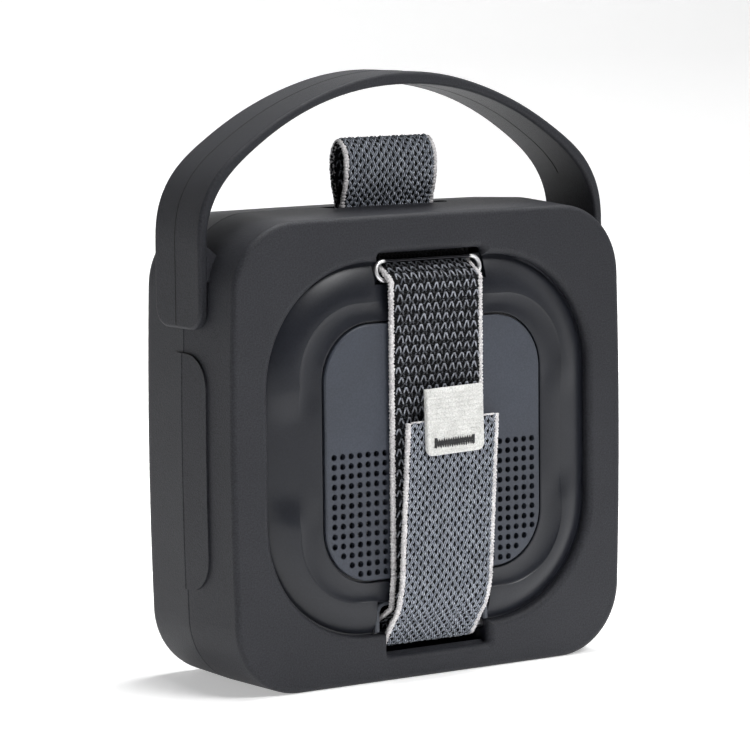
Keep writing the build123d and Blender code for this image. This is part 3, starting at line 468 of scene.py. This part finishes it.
class Band:
    """Turns (distance along, distance across, height above the middle) into places on a band."""

    def __init__(self, route, face_side, skew_from=None):
        self.route = route
        gaps = np.linalg.norm(np.diff(route, axis=0), axis=1)
        self.along = np.concatenate([[0], np.cumsum(gaps)])
        self.length = self.along[-1]
        tangent = np.gradient(route, axis=0)
        tangent = np.stack([smoothed(tangent[:, k], 9) for k in range(2)], -1)
        tangent /= np.linalg.norm(tangent, axis=1)[:, None]
        self.normal = np.stack([-tangent[:, 1], tangent[:, 0]], -1) * face_side
        self.skew_from = skew_from

    def at(self, s, u, h):
        s, u, h = np.broadcast_arrays(*(np.asarray(v, float) for v in (s, u, h)))
        y = np.interp(s, self.along, self.route[:, 0])
        z = np.interp(s, self.along, self.route[:, 1])
        ny = np.interp(s, self.along, self.normal[:, 0])
        nz = np.interp(s, self.along, self.normal[:, 1])
        x = u.copy()
        if self.skew_from is not None:
            up = z - self.skew_from
            lean = FLAP_SKEW * np.clip((up + 4) / 8, 0, 1)
            x = u * np.cos(lean) + np.sin(FLAP_SKEW * 1.1) * np.maximum(up, 0)
            z = z + u * math.sin(WEFT_TILT) * np.clip(up / 20, 0, 1)
        return np.stack([x, y + h * ny, z + h * nz], -1)


def smoothed(values, width):
    kernel = np.ones(width) / width
    padded = np.pad(values, width // 2, mode="edge")
    return np.convolve(padded, kernel, mode="valid")


# ---------------------------------------------------------------- weaving
NET_COLUMNS = 23
NET_PERIOD = 2.35  # along the band, from one opening to the next
ROW_PITCH = 2.4
STITCH_PITCH = 2.15
BODY_HALF = BAND_WIDTH / 2 - SELVEDGE
CORE = 0.34  # half the thickness of the woven ground


def woven_ground(band, s0, s1):
    """The plain cloth inside a band, closed all round."""
    parts = Parts()
    s = np.linspace(s0, s1, max(2, int((s1 - s0) / 0.5) + 1))
    u = np.linspace(-BODY_HALF - 0.4, BODY_HALF + 0.4, 9)
    top = band.at(s[:, None], u[None, :], CORE)
    under = band.at(s[:, None], u[None, ::-1], -CORE)
    parts.grid(np.concatenate([top, under], axis=1), 0, close_columns=True)
    for end in (0, -1):
        cap = np.stack([top[end], under[end][::-1]])
        parts.grid(cap, 0, flip=end == 0)
    return parts


def net_side(parts, band, s0, s1, sign, pale, black):
    """The pale side: slanting yarns that meet and part, so that staggered dark openings show."""
    s = np.arange(s0, s1, 0.2)
    wave = 2 * math.pi * s / NET_PERIOD
    pitch = (2 * BODY_HALF - 0.7) / (NET_COLUMNS - 1)
    zigzag = np.sin(wave) - np.sin(3 * wave) / 9
    for j in range(NET_COLUMNS):
        swing = 1 if j % 2 else -1
        u = -BODY_HALF + 0.35 + j * pitch + swing * 0.25 * zigzag
        h = sign * (CORE + 0.12 + 0.1 * np.sin(2 * wave + j))
        thick = 0.36 * (0.88 + 0.12 * np.sin(2 * wave + 1.3 * j))
        parts.tube(band.at(s, u, h), thick, pale, sides=8, flat=0.6)
        parts.tube(band.at(s, u - 0.06, h + sign * 0.18), 0.09, black, sides=4)
    for j in range(NET_COLUMNS - 1):
        u = np.full_like(s, -BODY_HALF + 0.35 + (j + 0.5) * pitch)
        h = sign * (CORE - 0.06 + 0.1 * np.sin(2 * wave))
        parts.tube(band.at(s, u, h), 0.26, black, sides=4, flat=0.7)


def loop_side(parts, band, s0, s1, sign, slots, rng, painted_shade_length=0.0):
    """The dark side: thick black weft rows, pale inverted-V stitches and a pile of small black loops."""
    pale, dim, black = slots
    across = np.arange(-BODY_HALF, BODY_HALF + 0.01, 0.24)
    for r in range(int((s1 - s0) / (ROW_PITCH / 3))):
        s = s0 + (r + 0.5) * ROW_PITCH / 3
        wave = 2 * math.pi * across / (STITCH_PITCH / 2) + (r % 2) * math.pi
        h = sign * (CORE + 0.02 + 0.14 * np.cos(wave))
        path = band.at(s + 0.12 * np.sin(wave), across, h)
        parts.tube(path, 0.3, black, sides=6, across=along_band(band, s, len(across)), flat=0.8)
    columns = int(2 * BODY_HALF / STITCH_PITCH)
    for r in range(int((s1 - s0) / ROW_PITCH)):
        for c in range(columns):
            s = s0 + (r + 0.5) * ROW_PITCH
            u = (c - (columns - 1) / 2 + (0.14 if r % 2 else -0.14)) * STITCH_PITCH
            # painted shade: no pale or dim stitches over the shaded length at the start, so the band
            # shows black there
            if s > painted_shade_length:
                stitch(parts, band, s, u, sign, pale, rng)
                stitch(parts, band, s + ROW_PITCH / 2, u + STITCH_PITCH / 2, sign, dim, rng, low=True)
            for _ in range(2):
                away = rng.uniform(-0.5, 0.5, 2)
                loop_s = s + ROW_PITCH * (0.5 + 0.4 * away[0])
                black_loop(parts, band, loop_s, u + STITCH_PITCH * away[1], sign, black, rng)


def along_band(band, s, count):
    here, there = band.at(s - 0.05, 0, 0), band.at(s + 0.05, 0, 0)
    way = (there - here) / np.linalg.norm(there - here)
    return np.tile(way, (count, 1))


def stitch(parts, band, s, u, sign, slot, rng, low=False):
    """A stitch shaped like an inverted V whose legs spread into its neighbours."""
    if abs(u) > BODY_HALF - 0.5:
        return
    t = np.linspace(-1, 1, 11)
    lean = rng.uniform(-0.2, 0.2)
    du = t * rng.uniform(0.66, 0.78) + lean * (1 - t**2)
    reach = rng.uniform(1.0, 1.3) if low else rng.uniform(1.45, 1.8)
    ds = (1 - np.abs(t) ** 1.5) * reach - reach / 2
    h = sign * (CORE + (0.3 if low else 0.4) - 0.18 * np.abs(t) ** 2)
    thick = 0.25 * (1 - 0.3 * np.abs(t))
    parts.tube(band.at(s - ds, u + du, h), thick, slot, sides=6, flat=0.8)


def black_loop(parts, band, s, u, sign, slot, rng):
    t = np.linspace(0, math.pi, 6)
    reach = rng.uniform(0.3, 0.55)
    turned = rng.uniform(-0.9, 0.9)
    u = float(np.clip(u, -BODY_HALF + 0.6, BODY_HALF - 0.6))
    du = -np.cos(t) * reach * math.cos(turned)
    ds = -np.cos(t) * reach * math.sin(turned)
    h = sign * (CORE + 0.15 + 0.42 * np.sin(t))
    parts.tube(band.at(s + ds, u + du, h), 0.1, slot, sides=4)


def selvedge(parts, band, s0, s1, edge, slot, dark_slot, dark_sign, thick):
    """A lumpy ribbed cord along one edge of the band, pale on one side and flecked on the other."""
    s = np.arange(s0, s1, 0.11)
    middle = edge * (BAND_WIDTH / 2 - SELVEDGE / 2)
    angles = np.linspace(0, 2 * math.pi, 16, endpoint=False)
    turn = 2 * math.pi * s[:, None] / 0.8
    rng = np.random.default_rng(int(edge) + 40)
    knots = np.arange(s[0] - 1, s[-1] + 1, 0.24)
    rough = np.stack([np.interp(s, knots, rng.uniform(-1, 1, len(knots))) for _ in range(8)], -1)
    rough = rough.repeat(2, axis=1)
    lumps = 1 + 0.1 * np.sin(turn + 1.6 * np.sin(angles[None, :]))
    lumps = lumps + 0.06 * np.sin(2.3 * turn + 3 * angles[None, :]) + 0.22 * rough
    du = np.sign(np.cos(angles)) * np.abs(np.cos(angles)) ** 0.75 * SELVEDGE / 2
    dh = np.sign(np.sin(angles)) * np.abs(np.sin(angles)) ** 0.8 * thick
    points = band.at(s[:, None], middle + du[None, :] * lumps, dh[None, :] * lumps)
    start = parts.count
    parts.grid(points, slot, close_columns=True)
    if dark_slot is not None:
        facing = np.sin(angles + math.pi / len(angles)) * dark_sign > 0.2
        parts.slots[-1] = np.where(np.tile(facing, len(s) - 1), dark_slot, slot)
    parts.caps(start, len(angles), slot, reverse=True)
    parts.caps(parts.count - len(angles), len(angles), slot, reverse=False)


def woven_band(name, band, pale_side, pale_too=True, seed=1, thick=0.52, painted_shade_length=0.0):
    """A woven band as two pieces, ground and yarns; pale_side is +1 where the net is on the face side."""
    s0, s1 = 0.0, band.length
    rng = np.random.default_rng(seed)
    ground = woven_ground(band, s0, s1).build(name, [BLACK_YARN])
    weld(ground)
    parts = Parts()
    if pale_too:
        net_side(parts, band, s0, s1, pale_side, 0, 1)
    loop_side(parts, band, s0, s1, -pale_side, (4, 5, 1), rng, painted_shade_length)
    for edge in (-1, 1):
        # painted shade: over the shaded length at the start, the selvedge is drawn in black yarn
        if painted_shade_length:
            selvedge(parts, band, s0, painted_shade_length, edge, 1, None, -pale_side, thick)
        flecks = 3 if pale_too else None
        selvedge(parts, band, max(s0, painted_shade_length), s1, edge, 2, flecks, -pale_side, thick)
    if pale_too:
        u = np.arange(-BODY_HALF, BODY_HALF, 0.3)
        for s in (s0 + 0.1, s1 - 0.1):
            h = pale_side * (CORE * 0.4 + 0.05 * np.sin(u * 7))
            parts.tube(band.at(s, u, h), 0.3, 2, sides=6, across=along_band(band, s, len(u)))
    materials = [LIGHT_YARN, BLACK_YARN, WHITE_YARN, FLECKED_YARN, STITCH_YARN_PAINTED_HIGHLIGHTS, DIM_YARN_PAINTED_HIGHLIGHTS]
    yarns = parts.build(name + "_yarns", materials)
    return ground, yarns


# inner run: from the slot over the ring, down the back and in behind the lower bar
RUN_CORNERS = [
    (LEG_Y, 108.9),
    (LEG_Y, 100.4),
    (-15.6, 100.4),
    (-15.9, 97.4),
    (RUN_Y, 94.3),
    (RUN_Y, 24.5),
    (-20.2, 17.2),
    (BAR_Y + TURN_RADIUS, 13.2),
    (BAR_Y + TURN_RADIUS, BAR_Z - 0.6),
]
RUN_PAINTED_SHADE_LENGTH = 26.6  # length behind the ring, where the band lies in the dark: painted shade, drawn with black edges and no pale stitches
run_band = Band(rounded_route(RUN_CORNERS, 1.5), face_side=-1)
back_run, back_run_yarns = woven_band(
    "woven_back_run", run_band, pale_side=-1, pale_too=False, seed=3, painted_shade_length=RUN_PAINTED_SHADE_LENGTH
)
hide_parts("strap_back_run")
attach(back_run, ROOT)
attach(back_run_yarns, ROOT)

# front flap: from under the lower bar, out through the notch and up
lean = np.array([-math.sin(FLAP_LEAN), math.cos(FLAP_LEAN)])
leave = np.array([BAR_Y, BAR_Z]) - TURN_RADIUS * np.array([math.cos(FLAP_LEAN), math.sin(FLAP_LEAN)])
HINGE = leave + 6.0 * lean
turn = [
    np.array([BAR_Y, BAR_Z]) + TURN_RADIUS * np.array([math.cos(a), math.sin(a)])
    for a in np.linspace(math.radians(-30), math.radians(-(180 - 35)), 14)
]
FLAP_POINTS = [
    *turn,
    HINGE,
    HINGE + 3.2 * lean,
    (FLAP_Y + 0.35, HINGE[1] + 7.0),
    (FLAP_Y, HINGE[1] + 11.5),
    (FLAP_Y, 40.0),
    (FLAP_Y, FLAP_TOP_Z),
]
flap_band = Band(smooth_route(FLAP_POINTS), face_side=1, skew_from=HINGE[1])
flap, flap_yarns = woven_band("woven_flap", flap_band, pale_side=1, seed=5)
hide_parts("strap_flap")
for piece in (flap, flap_yarns):
    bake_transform(piece)

# hanging loop above the sleeve
LOOP_POINTS = [
    (-LEG_Y, 108.9),
    (-LEG_Y, LOOP_AXIS_Z),
    (-2.6, 115.4),
    (-3.1, 119.6),
    (-2.6, 123.2),
    (0.1, LOOP_TOP_Z - BAND_THICKNESS / 2),
    (2.6, 123.2),
    (3.1, 119.6),
    (2.6, 115.4),
    (LEG_Y, LOOP_AXIS_Z),
    (LEG_Y, 108.9),
]
loop_band = Band(smooth_route(LOOP_POINTS), face_side=1)
loop, loop_yarns = woven_band("woven_loop", loop_band, pale_side=1, seed=7, thick=0.42)
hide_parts("hang_loop")
for piece in (loop, loop_yarns):
    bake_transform(piece)


# ---------------------------------------------------------------- pull tab and its bar tack
TAB_MIDDLE_UP = FLAP_TOP_Z - HINGE[1] - 0.4
TAB_TURN = math.radians(-1.6)  # the tab is sewn on almost upright, though the flap leans


def on_tab(u, up, h):
    """A place on the tab: u across and up from its middle, h outwards from the flap's face."""
    u, up, h = np.broadcast_arrays(*(np.asarray(v, float) for v in (u, up, h)))
    x = TAB_MIDDLE_UP * math.sin(FLAP_SKEW) + up * math.sin(TAB_TURN) + u * math.cos(TAB_TURN)
    z = HINGE[1] + TAB_MIDDLE_UP + 0.2 + up * math.cos(TAB_TURN) - u * math.sin(TAB_TURN)
    return np.stack([x, FLAP_Y - BAND_THICKNESS / 2 - 0.05 - h, z], -1)


RIB_PITCH = 1.12


def tab_half_width(distance_up):
    """Half the tab's width at a distance above its lower edge, with rounded corners."""
    radius = 2.0
    d = np.clip(distance_up, 0, radius)
    return TAB_WIDTH / 2 - radius + np.sqrt(np.maximum(radius**2 - (radius - d) ** 2, 0))


def ribbed_tab():
    parts = Parts()
    d = np.concatenate([[0.0, 0.03, 0.1], np.arange(0.2, TAB_LENGTH + 0.001, 0.1)])
    v = np.linspace(-1, 1, 121)
    half = tab_half_width(d)[:, None]
    u = v[None, :] * half
    ribs = np.abs(np.sin(math.pi * d / RIB_PITCH))[:, None] ** 0.7
    knots = 0.5 + 0.5 * np.cos(2 * math.pi * (u / 0.62 + 0.5 * (np.floor(d / RIB_PITCH) % 2)[:, None]))
    edge = np.clip((np.abs(u) - (half - 1.3)) / 0.2, 0, 1)
    cord = 0.1 * np.sqrt(np.maximum(1 - ((np.abs(u) - (half - 0.65)) / 0.75) ** 2, 0))
    cord = cord * (0.8 + 0.2 * np.sin(2 * math.pi * d / 0.5)[:, None])
    relief = (1 - edge) * (0.2 * ribs + 0.06 * knots * ribs) + edge * (0.03 + cord)
    rim = np.clip((1 - np.abs(v[None, :])) * half / 0.35, 0, 1) ** 0.5
    rim = rim * np.clip(d[:, None] / 0.35, 0, 1) ** 0.5
    rim = rim * np.clip((TAB_LENGTH - d[:, None]) / 0.35, 0, 1) ** 0.5
    outer = 0.3 + (TAB_THICKNESS - 0.5) * rim + relief * rim
    top = on_tab(u, d[:, None] - TAB_LENGTH / 2, outer)
    under = on_tab(u, d[:, None] - TAB_LENGTH / 2, 0.02 + 0 * outer)
    ring = np.concatenate([top, under[:, ::-1]], axis=1)
    parts.grid(ring, 0, close_columns=True, flip=True)
    for end in (0, -1):
        parts.grid(np.stack([top[end], under[end]]), 0, flip=end == -1)
    made = parts.build("ribbed_tab", [TAB_YARN])
    weld(made)
    return made


tab = ribbed_tab()
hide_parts("pull_tab")
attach(tab, "strap_front")


def bartack_stitches():
    """A dense zigzag of black thread with spiky edges and a taller stitch at each end."""
    parts = Parts()
    middle, sideways, width, spikes = -5.0, -0.6, 11.2, 17
    t = np.linspace(0, 2 * spikes, 2 * spikes * 10 + 1)
    u = sideways + (t / (2 * spikes) - 0.5) * width
    rng = np.random.default_rng(11)
    reach = np.interp(t, np.arange(2 * spikes + 1), rng.uniform(0.85, 1.2, 2 * spikes + 1))
    zigzag = (np.abs((t % 2) - 1) * 2 - 1) * reach
    parts.tube(on_tab(u, middle + zigzag, TAB_THICKNESS + 0.06), 0.14, 0, sides=6, flat=0.8)
    u2 = sideways + np.linspace(-width / 2, width / 2, 80)
    for shift in (-0.36, -0.18, 0.0, 0.18, 0.36):
        wobble = middle + shift + 0.05 * np.sin(u2 * 9 + shift * 20)
        parts.tube(on_tab(u2, wobble, TAB_THICKNESS - 0.05), 0.2, 0, sides=6, flat=0.8)
    for end in (-1, 1):
        for k in range(3):
            v = np.linspace(-0.95, 1.35 if end < 0 else 1.15, 12)
            place = sideways + end * (width / 2 - 0.22 * k)
            parts.tube(on_tab(place + 0.04 * v, middle + v, TAB_THICKNESS + 0.02), 0.15, 0, sides=6)
    return parts.build("bartack_stitches", [THREAD])


stitches = bartack_stitches()
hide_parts("bartack")
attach(stitches, "strap_front")


# ---------------------------------------------------------------- rear bumper
def rounded_outline(width, height, corner, middle_z, per_arc=18, per_side=14):
    """Points round a rounded rectangle in XZ, the same number for each size, from the middle right."""
    points, weights = [], []
    for k, (sx, sz) in enumerate(((1, 1), (-1, 1), (-1, -1), (1, -1))):
        half_w, half_h = width / 2 - corner, height / 2 - corner
        centre = np.array([sx * half_w, sz * half_h])
        start = k * math.pi / 2
        upright = k % 2 == 0
        run_in = half_h if upright else half_w
        run_out = half_w if upright else half_h
        first = centre + corner * np.array([math.cos(start), math.sin(start)])
        along = np.array([-math.sin(start), math.cos(start)])
        for f in np.linspace(0, 1, per_side, endpoint=False):
            points.append(first - along * run_in * (1 - f))
            weights.append(max(0.0, 1 - (1 - f) * run_in / FADE))
        for f in np.linspace(0, 1, per_arc, endpoint=False):
            a = start + f * math.pi / 2
            points.append(centre + corner * np.array([math.cos(a), math.sin(a)]))
            weights.append(1.0)
        last = centre + corner * np.array([math.cos(start + math.pi / 2), math.sin(start + math.pi / 2)])
        along = np.array([-math.cos(start), -math.sin(start)])
        for f in np.linspace(0, 1, per_side, endpoint=False):
            points.append(last + along * run_out * f)
            weights.append(max(0.0, 1 - f * run_out / FADE))
    points = np.array(points) + np.array([0, middle_z])
    return points, np.array(weights)


FADE = 9.0  # length over which a corner crease dies away along the straight sides
BUMPER_EDGE_Y, BUMPER_TOP_Y, BUMPER_BACK_Y = -17.5, -20.0, -15.45
PLATE_FLOOR_Y = -18.8


def cushion_height(t, corner):
    """Depth of the bumper's face: t is 0 at the window's edge, 0.5 at the crease and 1 at the plate."""
    smooth = BUMPER_EDGE_Y - 2.4 * np.sin(np.clip(t, 0, 1) * math.pi / 2) ** 0.85
    rise = BUMPER_EDGE_Y - 2.5 * np.sin(np.clip(t / 0.5, 0, 1) * math.pi / 2) ** 0.9
    s = np.clip((t - 0.5) / 0.5, 0, 1)
    dish = BUMPER_TOP_Y + 1.5 * s**0.75 * (1 - s) + 0.12 * s
    creased = np.where(t <= 0.5, rise, dish)
    return smooth + (creased - smooth) * corner


def cushion():
    window, weights = rounded_outline(90.2, 86.7, 27.6, 54.9)
    crease, _ = rounded_outline(74.6, 70.2, 17.0, 54.4)
    plate, _ = rounded_outline(62.1, 61.1, 13.5, 54.4)
    plate_in, _ = rounded_outline(48.0, 47.0, 8.0, 54.4)
    body, _ = rounded_outline(104.0, 102.0, 13.4, 55.2)
    body_edge, _ = rounded_outline(102.2, 100.2, 12.5, 55.2)
    inner, _ = rounded_outline(100.4, 98.4, 11.6, 55.2)
    rows = []

    def row(outline, depth):
        depth = np.broadcast_to(depth, len(outline))
        rows.append(np.stack([outline[:, 0], depth, outline[:, 1]], -1))

    corner = weights**1.5 * (3 - 2 * weights**1.5) * weights**0.5
    row(plate_in, PLATE_FLOOR_Y)
    row(plate, PLATE_FLOOR_Y)
    row(plate, -19.65)
    fold = [0.54, 0.525, 0.51, 0.5, 0.49, 0.475]
    steps = [[0.995], np.linspace(0.98, 0.56, 18), fold, np.linspace(0.45, 0, 18)]
    for t in np.concatenate(steps):
        if t > 0.5:
            near = crease + (plate - crease) * (t - 0.5) / 0.5
        else:
            near = window + (crease - window) * t / 0.5
        depth = cushion_height(t, corner)
        if t == 0.995:
            depth = depth + 0.1
        row(near, depth)
    row(body_edge, BUMPER_EDGE_Y)
    row(body, BUMPER_EDGE_Y + 0.9)
    row(body, -0.3)
    row(inner, -0.3)
    row(inner, BUMPER_BACK_Y)
    row(plate_in, BUMPER_BACK_Y)
    parts = Parts()
    parts.grid(np.array(rows), 0, close_rows=True, close_columns=True, flip=True)
    piece = parts.build("rear_cushion", [BUMPER])
    far = 60.0
    cut_box(piece, (-16.2, 16.2), (-far, -15.42), (-5.0, 19.1))
    cut_box(piece, (-15.8, 15.8), (-far, -16.95), (93.3, far * 2))
    cut_box(piece, (-13.7, 13.7), (-far, -15.0), (93.6, far * 2))
    cut_box(piece, (-16.2, 16.2), (-far, 3.4), (99.0, far * 2))
    cut_box(piece, (-16.2, 16.2), (-far, -9.0), (-5.0, 18.6))
    cut_box(piece, (48.0, far), (-10.0, -1.0), (28.5, 43.5))
    piece.data.set_sharp_from_angle(angle=math.radians(32))
    return piece


def cut_box(piece, x, y, z):
    """Takes a box's space out of a closed piece."""
    corners = [(a, b, c) for a in x for b in y for c in z]
    faces = [(0, 1, 3, 2), (4, 6, 7, 5), (0, 4, 5, 1), (2, 3, 7, 6), (0, 2, 6, 4), (1, 5, 7, 3)]
    tool = mesh_piece("cutter", corners, faces, [BUMPER], smooth=False)
    cut = piece.modifiers.new("cut", "BOOLEAN")
    cut.operation, cut.solver, cut.object = "DIFFERENCE", "EXACT", tool
    made = bpy.data.meshes.new_from_object(piece.evaluated_get(bpy.context.evaluated_depsgraph_get()))
    piece.modifiers.clear()
    piece.data = made
    bpy.data.objects.remove(tool)


rear_cushion = cushion()
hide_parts("rear_bumper")
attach(rear_cushion, ROOT)


# ---------------------------------------------------------------- the mould's parting line on the handle, drawn as a painted shade line
PARTING_Y = 0.75
ARCH_CENTRE_Z = 104.0
FOOT_Z = 85.2
FAR_OUT = 80.0  # rays to the outside start this far from the arch's centre


def parting_shade_line():
    """A thin near-black line laid along the handle's outside and inside, where rays meet the case:
    painted shade for the parting groove.
    """
    case = bpy.data.objects["silicone_case"]
    turn_back = case.matrix_world.inverted()

    def touch(x, z, dx, dz):
        start = turn_back @ (Vector((x, PARTING_Y, z)) * MM)
        found, place, _, _ = case.ray_cast(start, turn_back.to_3x3() @ Vector((dx, 0, dz)))
        place = case.matrix_world @ place / MM
        return (place.x, PARTING_Y, place.z) if found else None

    parts = Parts()
    for inner in (False, True):
        path = []
        for z in np.arange(FOOT_Z, ARCH_CENTRE_Z, 0.8) if not inner else []:
            path.append(touch(-FAR_OUT, z, 1.0, 0.0))
        for a in np.linspace(math.radians(178 if inner else 180), math.radians(2 if inner else 0), 160):
            c, d = math.cos(a), math.sin(a)
            if inner:
                path.append(touch(20.0 * c, 114.0 + 12.0 * d, c, d))
            else:
                path.append(touch(FAR_OUT * c, ARCH_CENTRE_Z + FAR_OUT * d, -c, -d))
        for z in np.arange(ARCH_CENTRE_Z, FOOT_Z, -0.8) if not inner else []:
            path.append(touch(FAR_OUT, z, -1.0, 0.0))
        path = np.array([p for p in path if p is not None])
        sideways = np.tile([0.0, 1.0, 0.0], (len(path), 1))
        parts.tube(path, 0.17, 0, sides=6, across=sideways, flat=0.35)
    return parts.build("parting_shade_line", [PARTING])


line = parting_shade_line()
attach(line, ROOT)


# ---------------------------------------------------------------- floor, light and camera
def stage():
    data = bpy.data.meshes.new("floor")
    rows = [(-2.5, 0.0), (1.2, 0.0), (1.6, 0.08), (1.9, 0.35), (2.0, 0.8), (2.0, 3.0)]
    vertices = [(x, y, z) for y, z in rows for x in (-4.0, 4.0)]
    faces = [(2 * i, 2 * i + 1, 2 * i + 3, 2 * i + 2) for i in range(len(rows) - 1)]
    data.from_pydata(vertices, [], faces)
    data.polygons.foreach_set("use_smooth", [True] * len(faces))
    floor = bpy.data.objects.new("floor", data)
    bpy.context.scene.collection.objects.link(floor)
    m = Nodes("floor_paper")
    split = m.add("ShaderNodeSeparateXYZ")
    m.link(m.place, split.inputs[0])
    x, y = split.outputs[0], split.outputs[1]

    def math_node(operation, first, second, third=0.0):
        node = m.add("ShaderNodeMath", operation=operation)
        for socket, value in zip(node.inputs, (first, second, third)):
            if isinstance(value, float):
                socket.default_value = value
            else:
                m.link(value, socket)
        return node.outputs[0]

    # painted light: the floor's colour is brighter and it glows in a pool around the speaker, fading
    # sideways and towards the camera; this glow also lights the speaker
    sideways = math_node("ABSOLUTE", math_node("MULTIPLY_ADD", y, -0.67, x), 0.0)
    depth = math_node("MAXIMUM", math_node("ADD", y, 0.75), 0.1)
    spread = math_node("DIVIDE", sideways, depth)
    glow = m.add("ShaderNodeMapRange")
    m.link(spread, glow.inputs["Value"])
    for socket, value in (("From Min", 0.15), ("From Max", 0.5), ("To Min", 1.0), ("To Max", 0.3)):
        glow.inputs[socket].default_value = value
    near = m.add("ShaderNodeMapRange")
    m.link(y, near.inputs["Value"])
    for socket, value in (("From Min", -0.8), ("From Max", -0.3), ("To Min", 0.3), ("To Max", 1.0)):
        near.inputs[socket].default_value = value
    glow = math_node("MULTIPLY", glow.outputs[0], near.outputs[0])
    m.base(m.ramp(m.sum(glow, m.noise(60.0), 0.02), [(0.0, (0.7, 0.7, 0.7)), (1.0, (0.92, 0.92, 0.92))]))
    m.rough(0.9)
    m.link(math_node("MULTIPLY", glow, 0.4), m.shader.inputs["Emission Strength"])
    m.set(Emission_Color=(1.0, 1.0, 1.0, 1.0))
    data.materials.append(m.material)


def area_light(name, place, target, size, power):
    lamp = bpy.data.lights.new(name, "AREA")
    lamp.shape = "RECTANGLE"
    lamp.size, lamp.size_y = size
    lamp.energy = power
    holder = bpy.data.objects.new(name, lamp)
    holder.location = place
    holder.rotation_euler = (Vector(target) - Vector(place)).to_track_quat("-Z", "Y").to_euler()
    bpy.context.scene.collection.objects.link(holder)


stage()
MIDDLE = (0, 0, 0.07)
area_light("key", (0.6, -1.3, 1.7), MIDDLE, (0.9, 0.8), 27.0)
area_light("left_fill", (-1.5, -0.6, 0.9), MIDDLE, (0.7, 1.0), 0.4)
area_light("right_fill", (1.4, -0.8, 0.5), MIDDLE, (0.7, 1.1), 2.5)
area_light("top", (0.35, 0.1, 1.6), MIDDLE, (0.5, 1.1), 25.0)
world = bpy.data.worlds.new("studio")
world.use_nodes = True
world.node_tree.nodes["Background"].inputs[0].default_value = (1.0, 1.0, 1.0, 1.0)
world.node_tree.nodes["Background"].inputs[1].default_value = 0.04
bpy.context.scene.world = world

CAMERA_PLACE = Vector((-497.87, -737.52, 173.25)) * MM
CAMERA_AZIMUTH = math.radians(-33.86)
CAMERA_ELEVATION = math.radians(6.65)
CAMERA_ROLL = math.radians(-0.56)
lens = bpy.data.cameras.new("camera")
lens.sensor_width = 36.0
lens.lens = 180.24
lens.clip_start = 0.01
camera = bpy.data.objects.new("camera", lens)
bpy.context.scene.collection.objects.link(camera)
back = Vector(
    (
        math.sin(CAMERA_AZIMUTH) * math.cos(CAMERA_ELEVATION),
        -math.cos(CAMERA_AZIMUTH) * math.cos(CAMERA_ELEVATION),
        math.sin(CAMERA_ELEVATION),
    )
)
right = Vector((0, 0, 1)).cross(back).normalized()
up = back.cross(right)
rolled_right = right * math.cos(CAMERA_ROLL) + up * math.sin(CAMERA_ROLL)
rolled_up = back.cross(rolled_right)
turned = Matrix((rolled_right, rolled_up, back)).transposed().to_4x4()
camera.matrix_world = Matrix.Translation(CAMERA_PLACE) @ turned
bpy.context.scene.camera = camera

bpy.context.scene.view_settings.view_transform = "Standard"
